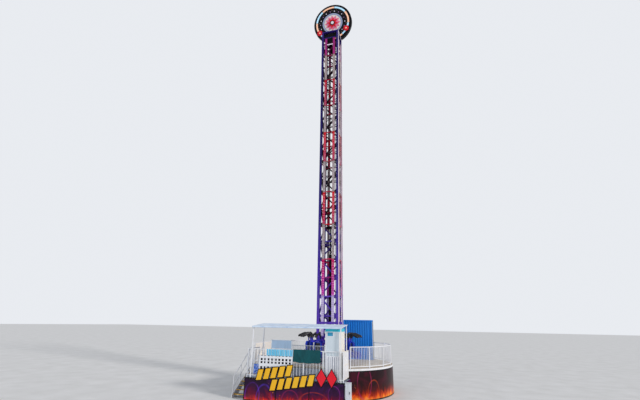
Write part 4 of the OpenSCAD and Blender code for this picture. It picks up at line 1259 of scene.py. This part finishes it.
@dataclass
class Fences:
    """Guard rails of the deck, the podium and the stair."""

    radius: float = 4.33
    top: float = 2.99
    base: float = 1.76
    podium_y: float = -5.39

    def build(self) -> None:
        """Dress the fences and add caps and feet to their posts."""
        dress(WHITE, "fence_right", "fence_back", "fence_left", "fence_front", "podium_fence", "stair_handrails")
        posts = self.posts()
        caps = [((x, y, top), (0, 0, 1)) for x, y, _, top in posts]
        studs("fence_caps", caps, 0.024, 0.012, Stud.DOME, WHITE)
        feet = Build("fence_feet")
        spots = []
        for x, y, low, _ in posts:
            feet.block((x - 0.055, y - 0.04, low), (x + 0.055, y + 0.04, low + 0.008), 0.002)
            spots += [((x + dx, y, low + 0.008), (0, 0, 1)) for dx in (-0.042, 0.042)]
        feet.done(ZINC, "galvanised_steel")
        studs("fence_bolts", spots, 0.008, 0.007)
        self.cladding()
        self.sheets()

    def posts(self) -> list[tuple[float, float, float, float]]:
        """Return the x, y, foot height and top height of the posts."""
        found = []
        back = 180 - math.degrees(math.asin(1.6 / 4.4))
        for start, end, fields in ((-59.04, 30.0, 5), (32.0, back - 2, 7)):
            for i in range(fields + 1):
                a = math.radians(start + (end - start) * i / fields)
                found.append((self.radius * math.cos(a), self.radius * math.sin(a), self.base, self.top))
        return found

    def cladding(self) -> None:
        """Clad the podium fence's left field with slats, rails and pickets, over a dark sheet that paints the shade
        behind them.
        """
        y = self.podium_y
        slats = Build("podium_slats")
        for i in range(10):
            x = -2.97 + i * 0.225
            slats.block((x, y - 0.038, 1.36), (x + 0.095, y - 0.028, 2.44), 0.002)
        for low, high in ((1.40, 1.50), (1.86, 2.02), (2.13, 2.18), (2.30, 2.42)):
            slats.block((-2.97, y - 0.046, low), (-0.85, y - 0.036, high), 0.002)
        slats.done(WHITE, "white_paint")
        pickets = Build("sky_pickets")
        for i in range(16):
            x = -2.5 + i * 0.104
            pickets.block((x, y - 0.034, 2.45), (x + 0.072, y - 0.026, 2.80), 0.002)
        pickets.done(SKY, "white_paint")
        # Dark ribbed sheet behind the slats: painted shade, so the gaps read as the shadow inside the podium.
        backing = Build("slat_backing")
        ribbed(backing, (-2.97, y + 0.027), (2.13, 0.0), (0.0, 1.0), (1.36, 2.44), 0.2)
        backing.done(DARK, "white_paint")
        blue = Build("azure_slats")
        for i in range(4):
            x = -3.28 + i * 0.078
            blue.block((x, y - 0.036, 1.42), (x + 0.045, y - 0.028, 1.96), 0.002)
        blue.done(AZURE, "white_paint")

    def sheets(self) -> None:
        """Back the left deck fence with a ribbed sheet, and frame the podium's right side panel."""
        back = Build("fence_sheet")
        ribbed(back, (-4.712, -2.38), (0.0, 3.86), (1.0, 0.0), (1.87, 2.94), 0.12)
        back.done(IVORY, "white_paint")
        low, high = Vector((2.16, -5.361, 1.33)), Vector((2.17, -3.91, 2.81))
        rim = Build("side_panel_rim")
        for z in (low.z, 2.05, high.z - 0.05):
            rim.block((low.x, low.y, z), (high.x, high.y, z + 0.05), 0.002)
        for y in (low.y, (low.y + high.y) / 2 - 0.025, high.y - 0.05):
            rim.block((low.x, y, low.z), (high.x - 0.002, y + 0.05, high.z), 0.002)
        rim.done(IVORY, "white_paint")


@dataclass
class Stair:
    """Side stair with its stringers and treads."""

    x: tuple[float, float] = (-4.76, -3.99)
    rises: int = 9
    rise: float = 1.76 / 9
    going: float = 0.3
    foot_y: float = -4.9

    def build(self) -> None:
        """Dress the stair and add nosings and bolts."""
        dress(WHITE, "stair_stringers")
        dress(TREAD, "stair_treads")
        nosings = Build("tread_nosings")
        spots = []
        for i in range(1, self.rises):
            y = self.foot_y + (i - 1) * self.going
            z = i * self.rise
            nosings.block((self.x[0] + 0.01, y - 0.006, z - 0.03), (self.x[1] - 0.01, y + 0.035, z + 0.003), 0.002)
            for dy in (0.08, 0.2):
                spots.append(((-3.95, y + dy, z - 0.02), (1, 0, 0)))
        nosings.done(YELLOW, "tread_grating")
        studs("tread_bolts", spots, 0.01, 0.008)


@dataclass
class Booth:
    """Operator's booth with a band under its roof, framed panels, slats and a framed pane."""

    band_h: float = 0.165
    slats_top: float = 1.27
    slats: int = 6

    def build(self) -> None:
        """Dress the booth and add its frames."""
        dress(BOOTH, "booth_body")
        dress(GLASS, "booth_window")
        low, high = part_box("booth_body")
        self.band(low, high)
        self.front(low, high)
        self.sides(low, high)
        self.window(low.y)

    def band(self, low: Vector, high: Vector) -> None:
        """Run a band with a drip edge round the top of the walls."""
        foot = high.z - self.band_h
        band = Build("booth_band")
        for z0, z1, out in ((foot, high.z - 0.002, 0.012), (foot - 0.012, foot + 0.01, 0.022)):
            band.block((low.x - out, low.y - out, z0), (high.x + out, low.y, z1), 0.003)
            band.block((high.x, low.y, z0), (high.x + out, high.y, z1), 0.003)
            band.block((low.x - out, low.y, z0), (low.x, high.y, z1), 0.003)
        band.done(TEAL, "booth_panel")

    def front(self, low: Vector, high: Vector) -> None:
        """Frame the upper front panel, and set slats on a dark ground below it."""
        x0, x1, y0 = low.x, high.x, low.y
        split = low.z + self.slats_top
        frames = Build("booth_frames")
        for z0, z1 in ((low.z, low.z + 0.05), (split, split + 0.05), (high.z - self.band_h - 0.05, high.z - self.band_h)):
            frames.block((x0, y0 - 0.016, z0), (x1, y0, z1), 0.002)
        for x in (x0, x1 - 0.045):
            frames.block((x, y0 - 0.014, low.z), (x + 0.045, y0, high.z - self.band_h), 0.002)
        frames.done(WHITE, "booth_panel")
        ground = Build("booth_slat_ground")
        ground.block((x0 + 0.045, y0 - 0.004, low.z + 0.05), (x1 - 0.045, y0, split), 0.001)
        ground.done(NAVY, "booth_panel")
        slats = Build("booth_slats")
        pitch = (x1 - x0 - 0.09) / self.slats
        for i in range(self.slats):
            x = x0 + 0.045 + (i + 0.5) * pitch
            slats.block((x - 0.049, y0 - 0.014, low.z + 0.05), (x + 0.049, y0 - 0.004, split), 0.003)
        slats.done(WHITE, "booth_panel")

    def sides(self, low: Vector, high: Vector) -> None:
        """Clad the two side walls with framed sheets."""
        top = high.z - self.band_h - 0.012
        for finish, name, x, out in ((IVORY, "right", high.x, 1), (WHITE, "left", low.x, -1)):
            skin = Build(f"booth_side_{name}")
            ribbed(skin, (x, low.y + 0.05), (0.0, high.y - low.y - 0.1), (out, 0.0), (low.z + 0.05, top), 0.32)
            for y in (low.y, (low.y + high.y) / 2 - 0.02, high.y - 0.05):
                ends = sorted((x, x + out * 0.014))
                skin.block((ends[0], y, low.z), (ends[1], y + 0.05, top), 0.002)
            for z in (low.z, low.z + self.slats_top, top - 0.05):
                ends = sorted((x, x + out * 0.016))
                skin.block((ends[0], low.y, z), (ends[1], high.y, z + 0.05), 0.002)
            skin.done(finish, "booth_panel")

    def window(self, y0: float) -> None:
        """Frame the pane in its opening."""
        low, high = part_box("booth_window")
        rim = Build("window_rim")
        for a, b in (((low.x - 0.03, low.z - 0.03), (high.x + 0.03, low.z)),
                     ((low.x - 0.03, high.z), (high.x + 0.03, high.z + 0.03)),
                     ((low.x - 0.03, low.z), (low.x, high.z)), ((high.x, low.z), (high.x + 0.03, high.z))):
            rim.block((a[0], y0 - 0.012, a[1]), (b[0], y0 + 0.006, b[1]), 0.002)
        rim.done(WHITE, "booth_panel")


def sheet_mesh(name: str, columns: int, rows: int, at: Callable[[float, float], Point],
               cut: tuple[float, float], thickness: float) -> bpy.types.Object:
    """Make a thin cloth of two skins from a surface function.

    Args:
        name: The piece's name.
        columns: Number of steps across.
        rows: Number of steps along.
        at: Gives a point for the two fractions across and along.
        cut: Size of the flat cloth in metres.
        thickness: Thickness of the cloth.

    Returns:
        The new object, with its cut as the UV map.
    """
    points = [at(i / columns, j / rows) for j in range(rows + 1) for i in range(columns + 1)]
    faces = [(j * (columns + 1) + i, j * (columns + 1) + i + 1, (j + 1) * (columns + 1) + i + 1,
              (j + 1) * (columns + 1) + i) for j in range(rows) for i in range(columns)]
    mesh = plain_mesh(name, points, faces=faces)
    layer = mesh.uv_layers.new(name="cut")
    for loop in mesh.loops:
        i, j = loop.vertex_index % (columns + 1), loop.vertex_index // (columns + 1)
        layer.data[loop.index].uv = (cut[0] * i / columns, cut[1] * j / rows)
    mesh.shade_smooth()
    thing = put(name, mesh)
    wall = thing.modifiers.new("wall", "SOLIDIFY")
    wall.thickness, wall.offset = thickness, 0.0
    return apply(thing)


@dataclass
class Canopy:
    """Canopy cloth stretched over its tube frame."""

    over: float = 0.055
    front_hem: float = 0.085
    back_hem: float = 0.055
    sag: float = 0.05
    bend: float = 0.02

    def build(self) -> None:
        """Dress the frame and make the cloth."""
        dress(WHITE, "canopy_frame")
        low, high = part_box("canopy_frame")
        cloth_low, cloth_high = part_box("canopy_cloth")
        self.x0, self.x1 = low.x - self.over, high.x + self.over
        self.y0, self.y1 = low.y, high.y
        self.front_z = cloth_low.z + 0.09
        self.rise = high.z - self.front_z
        deep = math.hypot(self.y1 - self.y0, self.rise)
        self.long = deep + 2 * self.over + self.front_hem + self.back_hem
        self.wide = self.x1 - self.x0
        cloth = sheet_mesh("canopy_sheet", 140, 60, self.at, (self.wide, self.long), 0.002)
        cloth.data.materials.append(CANOPY.material())
        settle(cloth)
        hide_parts("canopy_cloth")
        self.lacing()

    def at(self, u: float, v: float) -> tuple[float, float, float]:
        """Return the cloth's point at fractions across and along its cut."""
        s = v * self.long - self.front_hem - self.over
        deep = math.hypot(self.y1 - self.y0, self.rise)
        x = self.x0 + u * self.wide
        slope = self.rise / (self.y1 - self.y0)
        flat = min(max(s, -self.over), deep + self.over)
        y = self.y0 + flat * (self.y1 - self.y0) / deep
        z = self.front_z + (y - self.y0) * slope + 0.004
        drop = max(0.0, -self.over - s) + max(0.0, s - deep - self.over)
        inside = max(0.0, math.sin(math.pi * min(max(s / deep, 0.0), 1.0)))
        edge = max(0.0, math.sin(math.pi * min(max((x - self.x0 - 0.1) / (self.wide - 0.2), 0.0), 1.0)))
        bow = 0.75 + 0.25 * math.sin(x * 2.2 + 0.6)
        z -= self.sag * inside ** 0.8 * edge ** 0.35 * bow
        z += 0.004 * inside * math.sin(x * 17 + 3 * math.sin(y * 4)) * edge
        wave = 0.006 * math.sin(x * 9.0) + 0.004 * math.sin(x * 21.0 + 1.0)
        if s < 0:
            y -= wave * min(1.0, drop / 0.05)
        return x, y - 0.004 * (drop > 0) * (1 if s < 0 else -1), z - drop

    def lacing(self) -> None:
        """Lace the cloth's front hem to the frame's front tube."""
        loops = []
        for i in range(28):
            x = self.x0 + 0.12 + i * (self.wide - 0.24) / 27
            z = self.front_z
            loops.append([(x, self.y0 - 0.058, z - 0.07), (x + 0.01, self.y0 - 0.03, z - 0.075),
                          (x + 0.02, self.y0 - 0.003, z - 0.055)])
        pipes("canopy_lacing", loops, 0.003, WHITE)


@dataclass
class Banner:
    """Dark cloth tied to the podium fence at its top corners, with slanting folds."""

    def build(self) -> None:
        """Make the cloth and its ties."""
        low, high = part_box("banner")
        self.low, self.high = low, high
        self.wide, self.long = high.x - low.x + 0.03, high.z - low.z + 0.02
        cloth = sheet_mesh("banner_sheet", 96, 48, self.at, (self.wide, self.long), 0.0015)
        cloth.data.materials.append(BANNER.material())
        settle(cloth)
        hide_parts("banner")
        ties = []
        for i in range(9):
            x = low.x + 0.04 + i * (high.x - low.x - 0.08) / 8
            z = high.z - 0.03
            ties.append([(x, low.y - 0.004, z), (x, low.y - 0.012, z + 0.03), (x, low.y + 0.01, z + 0.045)])
        pipes("banner_ties", ties, 0.0025, WHITE)

    def at(self, u: float, v: float) -> tuple[float, float, float]:
        """Return the cloth's point at fractions across and down from its top edge."""
        low, high = self.low, self.high
        down = v * (high.z - low.z)
        x = low.x + u * (high.x - low.x)
        fold = 0.0
        for start, lean, width, deep in ((0.12, 0.55, 0.06, 0.02), (0.3, 0.4, 0.05, 0.014), (0.62, -0.35, 0.06, 0.018),
                                         (0.86, -0.6, 0.06, 0.022), (0.48, 0.05, 0.08, 0.012)):
            off = (u - start - lean * v * 0.4) / width
            fold += deep * math.exp(-off * off) * min(1.0, v * 3)
        belly = 0.022 * math.sin(math.pi * u) * math.sin(math.pi * min(1.0, v * 0.9))
        lift = 0.055 * (abs(2 * u - 1) ** 2.2) * v + 0.012 * math.sin(u * 19.0) * v
        return x, low.y - 0.004 - fold - belly, high.z - 0.004 - down + lift


@dataclass
class Fittings:
    """Notice board, electrical box and power cabinet."""

    def build(self) -> None:
        """Dress them and add their doors, frames and handles."""
        dress(BOARD, "notice_board")
        dress(GREY, "electrical_box")
        dress(BLUE, "power_cabinet")
        self.board()
        self.box()
        self.cabinet()

    def board(self) -> None:
        """Frame the notice board."""
        low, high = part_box("notice_board")
        z0 = high.z - 0.51
        rim = Build("board_rim")
        for a, b in (((low.x, z0), (high.x, z0 + 0.03)), ((low.x, high.z - 0.03), (high.x, high.z)),
                     ((low.x, z0), (low.x + 0.03, high.z)), ((high.x - 0.03, z0), (high.x, high.z))):
            rim.block((a[0], low.y - 0.01, a[1]), (b[0], low.y, b[1]), 0.002)
        rim.done(GREY, "board_grey")

    def box(self) -> None:
        """Give the electrical box a door, hinges, a handle and a rain hood."""
        low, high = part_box("electrical_box")
        z0 = 0.26
        door = Build("box_door")
        door.block((low.x + 0.02, low.y - 0.012, z0 + 0.03), (high.x - 0.02, low.y, high.z - 0.03), 0.004)
        door.block((low.x - 0.008, low.y - 0.03, high.z - 0.012), (high.x + 0.01, high.y + 0.008, high.z + 0.006), 0.003)
        door.done(GREY, "box_grey")
        small = Build("box_handle")
        small.block((high.x - 0.07, low.y - 0.035, 0.70), (high.x - 0.045, low.y - 0.012, 0.82), 0.004)
        for z in (0.40, 1.02):
            small.block((low.x + 0.012, low.y - 0.022, z), (low.x + 0.032, low.y - 0.002, z + 0.07), 0.003)
        small.done(DARK, "box_grey")

    def cabinet(self) -> None:
        """Give the power cabinet corner posts, end doors and locking bars."""
        low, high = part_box("power_cabinet")
        frame_piece = Build("cabinet_frame")
        for x in (low.x - 0.02, high.x - 0.06):
            frame_piece.block((x, low.y - 0.02, low.z), (x + 0.08, low.y + 0.05, high.z + 0.02), 0.006)
            frame_piece.block((x, high.y - 0.05, low.z), (x + 0.08, high.y + 0.02, high.z + 0.02), 0.006)
        for z in (low.z, high.z - 0.08):
            frame_piece.block((low.x, low.y - 0.015, z), (high.x, low.y + 0.04, z + 0.1), 0.006)
        frame_piece.done(BLUE, "blue_sheet")
        skins = Build("cabinet_skins")
        ribbed(skins, (high.x - 0.09, high.y), (low.x - high.x + 0.15, 0.0), (0.0, 1.0), (low.z + 0.1, high.z - 0.02), 0.21)
        ribbed(skins, (low.x, high.y - 0.06), (0.0, low.y - high.y + 0.12), (-1.0, 0.0), (low.z + 0.1, high.z - 0.02), 0.21)
        for i in range(3):
            x = low.x + 0.3 + i * 0.8
            skins.block((x, high.y + 0.004, 2.2), (x + 0.45, high.y + 0.016, 2.9), 0.004)
            for k in range(9):
                tilt = shifted(x + 0.225, high.y + 0.018, 2.26 + k * 0.072) @ Matrix.Rotation(-0.5, 4, "X")
                skins.block((-0.19, -0.004, -0.024), (0.19, 0.008, 0.024), 0.002, tilt)
        skins.done(BLUE, "blue_sheet")
        doors = Build("cabinet_doors")
        for y in (low.y + 0.05, (low.y + high.y) / 2 + 0.005):
            doors.block((high.x, y, low.z + 0.1), (high.x + 0.015, y + 0.295, high.z - 0.1), 0.006)
        doors.done(GREY, "blue_sheet")
        bars = []
        for y in (low.y + 0.2, high.y - 0.2):
            bars.append([(high.x + 0.035, y, low.z + 0.06), (high.x + 0.035, y, high.z - 0.05)])
        pipes("cabinet_bars", bars, 0.014, ZINC)


@dataclass
class Gondola:
    """Ring of twelve seats with pads and shoulder restraints."""

    seats: int = 12
    first: float = 15.0
    step: float = 30.0
    seat_r: float = 1.57
    pan_z: float = 2.24
    pivot: tuple[float, float, float] = (1.55, 0.0, 3.32)
    raised: float = 65.0
    arm_off: float = 0.15
    arm_len: float = 0.25
    bend: float = 0.17
    chest: float = 0.60

    def build(self) -> None:
        """Dress the ring and seats, and add pads and restraints."""
        dress(VIOLET, "gondola_ring")
        dress(RUBBER, "guide_rollers")
        dress(SEAT, "seat_shells")
        self.pads()
        self.restraints()
        self.ring_lamps()

    def turns(self) -> list[tuple[int, Matrix]]:
        """Return each seat's number and turn."""
        return [(i + 1, spin(self.first + i * self.step)) for i in range(self.seats)]

    def cushion(self, name: str, size: Point, cap: float) -> bpy.types.Mesh:
        """Make one stuffed pad about its own middle.

        Args:
            name: Name of the mesh.
            size: Lengths of the pad along x, y and z.
            cap: Furthest that a point may move while it swells.

        Returns:
            The pad's mesh.
        """
        build = Build(name)
        half = Vector(size) / 2 - Vector((cap, cap, cap)) * 0.6
        build.block(-half, half, min(half) * 0.6)
        thing = put(name, build.data())
        remesh = thing.modifiers.new("remesh", "REMESH")
        remesh.mode, remesh.voxel_size = "VOXEL", 0.006
        apply(thing)
        rest = np.array([v.co for v in thing.data.vertices])
        moved = self.swell(thing)
        shift = moved - rest
        length = np.maximum(np.linalg.norm(shift, axis=1, keepdims=True), 1e-9)
        points = rest + shift * np.minimum(1.0, cap / length)
        tall = int(np.argmax(size))
        for at in (-0.18, 0.0, 0.18):
            near = np.exp(-((points[:, tall] - at * size[tall] * 2) / 0.011) ** 2)[:, None]
            points -= np.sign(points) * near * 0.006 * (np.arange(3) == int(np.argmin(size)))
        limit = np.array(size) / 2
        points = np.clip(points, -limit, limit)
        for v, p in zip(thing.data.vertices, points):
            v.co = p
        thin = thing.modifiers.new("thin", "DECIMATE")
        thin.ratio = 0.3
        plain = apply(thing).data
        plain.materials.append(PAD.material())
        plain.shade_smooth()
        bpy.data.objects.remove(thing)
        return plain

    def swell(self, thing: bpy.types.Object) -> np.ndarray:
        """Blow a pad up as cloth under pressure and return where its points end."""
        cloth = thing.modifiers.new("cloth", "CLOTH")
        cloth.settings.use_pressure = True
        cloth.settings.uniform_pressure_force = 4.0
        cloth.settings.effector_weights.gravity = 0.0
        cloth.settings.quality = 5
        cloth.point_cache.frame_start, cloth.point_cache.frame_end = 1, 20
        scene = bpy.context.scene
        for number in range(1, 21):
            scene.frame_set(number)
        deps = bpy.context.evaluated_depsgraph_get()
        ended = thing.evaluated_get(deps)
        points = np.array([v.co for v in ended.data.vertices])
        thing.modifiers.clear()
        scene.frame_set(1)
        return points

    def pads(self) -> None:
        """Put a back pad and a seat pad into each shell."""
        back = self.cushion("back_pad_form", (0.055, 0.415, 0.735), 0.012)
        seat = self.cushion("seat_pad_form", (0.385, 0.415, 0.055), 0.012)
        for number, turn in self.turns():
            for kind, mesh, middle in (("back", back, (self.seat_r + 0.0585, 0, self.pan_z + 0.44)),
                                       ("seat", seat, (self.seat_r + 0.285, 0, self.pan_z + 0.029))):
                copy = mesh.copy()
                copy.transform(turn @ Matrix.Translation(middle))
                pad = settle(put(f"{kind}_pad_{number:02d}", copy), "gondola")
                if number == 1 and kind == "back":
                    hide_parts("seat_pads")

    def restraint(self, build: Build, place: Matrix) -> None:
        """Add one foam covered shoulder restraint to a piece."""
        for side in (-1, 1):
            y = side * self.arm_off
            corner = [(self.arm_len + self.bend * math.sin(a), y, -self.bend * (1 - math.cos(a)))
                      for a in np.linspace(0, math.pi / 2, 9)]
            path = [(0.03, y, 0), (0.06, y, 0), (0.12, y, 0), (0.2, y, 0), *corner]
            x = self.arm_len + self.bend
            path += [(x, y, -self.bend - d) for d in (0.06, 0.15, 0.25, 0.33, 0.40, 0.44, 0.465, 0.47)]
            radii = [0.027, 0.03, 0.048, 0.06] + [0.068] * 9 + [0.074, 0.079, 0.081, 0.078, 0.07, 0.06, 0.04, 0.014]
            build.tube(path, radii, 14, place)
            hub = [(0.0205, -0.032), (0.038, -0.032), (0.038, 0.032), (0.0205, 0.032)]
            stand = place @ shifted(0, y, 0) @ Matrix.Rotation(math.pi / 2, 4, "X")
            build.arc(hub, 0, 360, 24, stand)
            grip = [(x, y + side * 0.03, -0.50), (x + 0.03, y + side * 0.06, -0.52), (x + 0.09, y + side * 0.06, -0.50)]
            build.tube(grip, 0.014, 10, place)
        x = self.arm_len + self.bend
        build.tube([(x, -self.arm_off, -self.chest), (x, self.arm_off, -self.chest)], 0.021, 12, place)

    def restraints(self) -> None:
        """Build each restraint on its own body, raised as the CAD has it."""
        for number, turn in self.turns():
            place = turn @ Matrix.Translation(self.pivot) @ Matrix.Rotation(-math.radians(self.raised), 4, "Y")
            piece = Build(f"restraint_pad_{number:02d}")
            self.restraint(piece, place)
            made = piece.done(FOAM, "restraint_foam", f"restraint_{number:02d}", 50)
            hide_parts(f"restraint_{number:02d}")

    def ring_lamps(self) -> None:
        """Set small lamps between the seats on the outer face of both rings."""
        spots = []
        for z in (2.12, 3.10):
            for i in range(self.seats):
                for k in (-1, 0, 1):
                    a = math.radians(i * self.step + k * 5.0)
                    out = Vector((math.cos(a), math.sin(a), 0))
                    spots.append((out * 1.298 + Vector((0, 0, z)), out))
        studs("ring_lamps", spots, 0.018, 0.012, Stud.DOME, PEARL, "gondola")


@dataclass
class Stage:
    """Floor, lights and the camera of the scene."""

    lens: float = 350 / 640 * 36
    spot: tuple[float, float, float] = (6.80, -26.50, 4.3)
    heading: float = 16.29
    pitch: float = 19.44
    roll: float = 1.03

    def build(self) -> None:
        """Make the floor, the light and the camera."""
        self.floor()
        self.lights()
        self.camera()

    def floor(self) -> None:
        """Lay a wide pale floor."""
        corners = [(x * 300.0, y * 300.0, -0.002) for x, y in ((-1, -1), (1, -1), (1, 1), (-1, 1))]
        mesh = plain_mesh("floor", corners, faces=[(0, 1, 2, 3)])
        mesh.materials.append(FLOOR.material())
        put("floor", mesh)

    def lights(self) -> None:
        """Light the object from a pale sky and two soft lamps."""
        world = bpy.data.worlds.new("sky")
        bpy.context.scene.world = world
        world.use_nodes = True
        graph = Graph(world.node_tree)
        camera, through = (graph.add("ShaderNodeLightPath", out=f"Is {ray} Ray") for ray in ("Camera", "Transmission"))
        seen = camera.calc("MAXIMUM", through)
        inputs = {"Color": seen.mix("#e9edf5", "#eef1f6"), "Strength": seen.remap(0.0, 1.0, 0.5, 0.95)}
        graph.node("ShaderNodeOutputWorld", {0: graph.add("ShaderNodeBackground", inputs)})
        for name, power, colour, aim, soft in (("key", 1.9, (1.0, 0.96, 0.92), (-0.85, 0.32, -0.45), 10.0),
                                               ("fill", 0.6, (0.80, 0.89, 1.0), (0.5, 0.8, -0.25), 40.0)):
            lamp = bpy.data.lights.new(name, "SUN")
            lamp.energy, lamp.color, lamp.angle = power, colour, math.radians(soft)
            thing = put(name, lamp)
            thing.rotation_mode = "QUATERNION"
            thing.rotation_quaternion = Vector(aim).to_track_quat("-Z", "Y")

    def camera(self) -> None:
        """Set the camera at the photograph's place and angle."""
        head, pitch, roll = (math.radians(a) for a in (self.heading, self.pitch, self.roll))
        ahead = Vector((-math.sin(head) * math.cos(pitch), math.cos(head) * math.cos(pitch), math.sin(pitch)))
        right = Vector((math.cos(head), math.sin(head), 0.0))
        up = right.cross(ahead)
        x_axis = right * math.cos(roll) + up * math.sin(roll)
        y_axis = up * math.cos(roll) - right * math.sin(roll)
        data = bpy.data.cameras.new("camera")
        data.lens, data.sensor_width, data.clip_end = self.lens, 36.0, 2000.0
        thing = put("camera", data)
        turn = Matrix((x_axis, y_axis, -ahead)).transposed().to_4x4()
        thing.matrix_world = Matrix.Translation(self.spot) @ turn
        bpy.context.scene.camera = thing


def main() -> None:
    """Build the sub-assemblies in order."""
    logging.basicConfig(level=logging.INFO, format="%(message)s")
    bpy.context.scene.view_settings.view_transform = "Standard"
    parts = (Stage(), Tower(), Sign(), Deck(), Podium(), Fences(), Stair(), Booth(), Canopy(), Banner(),
             Fittings(), Gondola())
    for part in parts:
        LOG.info("building %s", type(part).__name__)
        part.build()


if __name__ == "__main__":
    main()
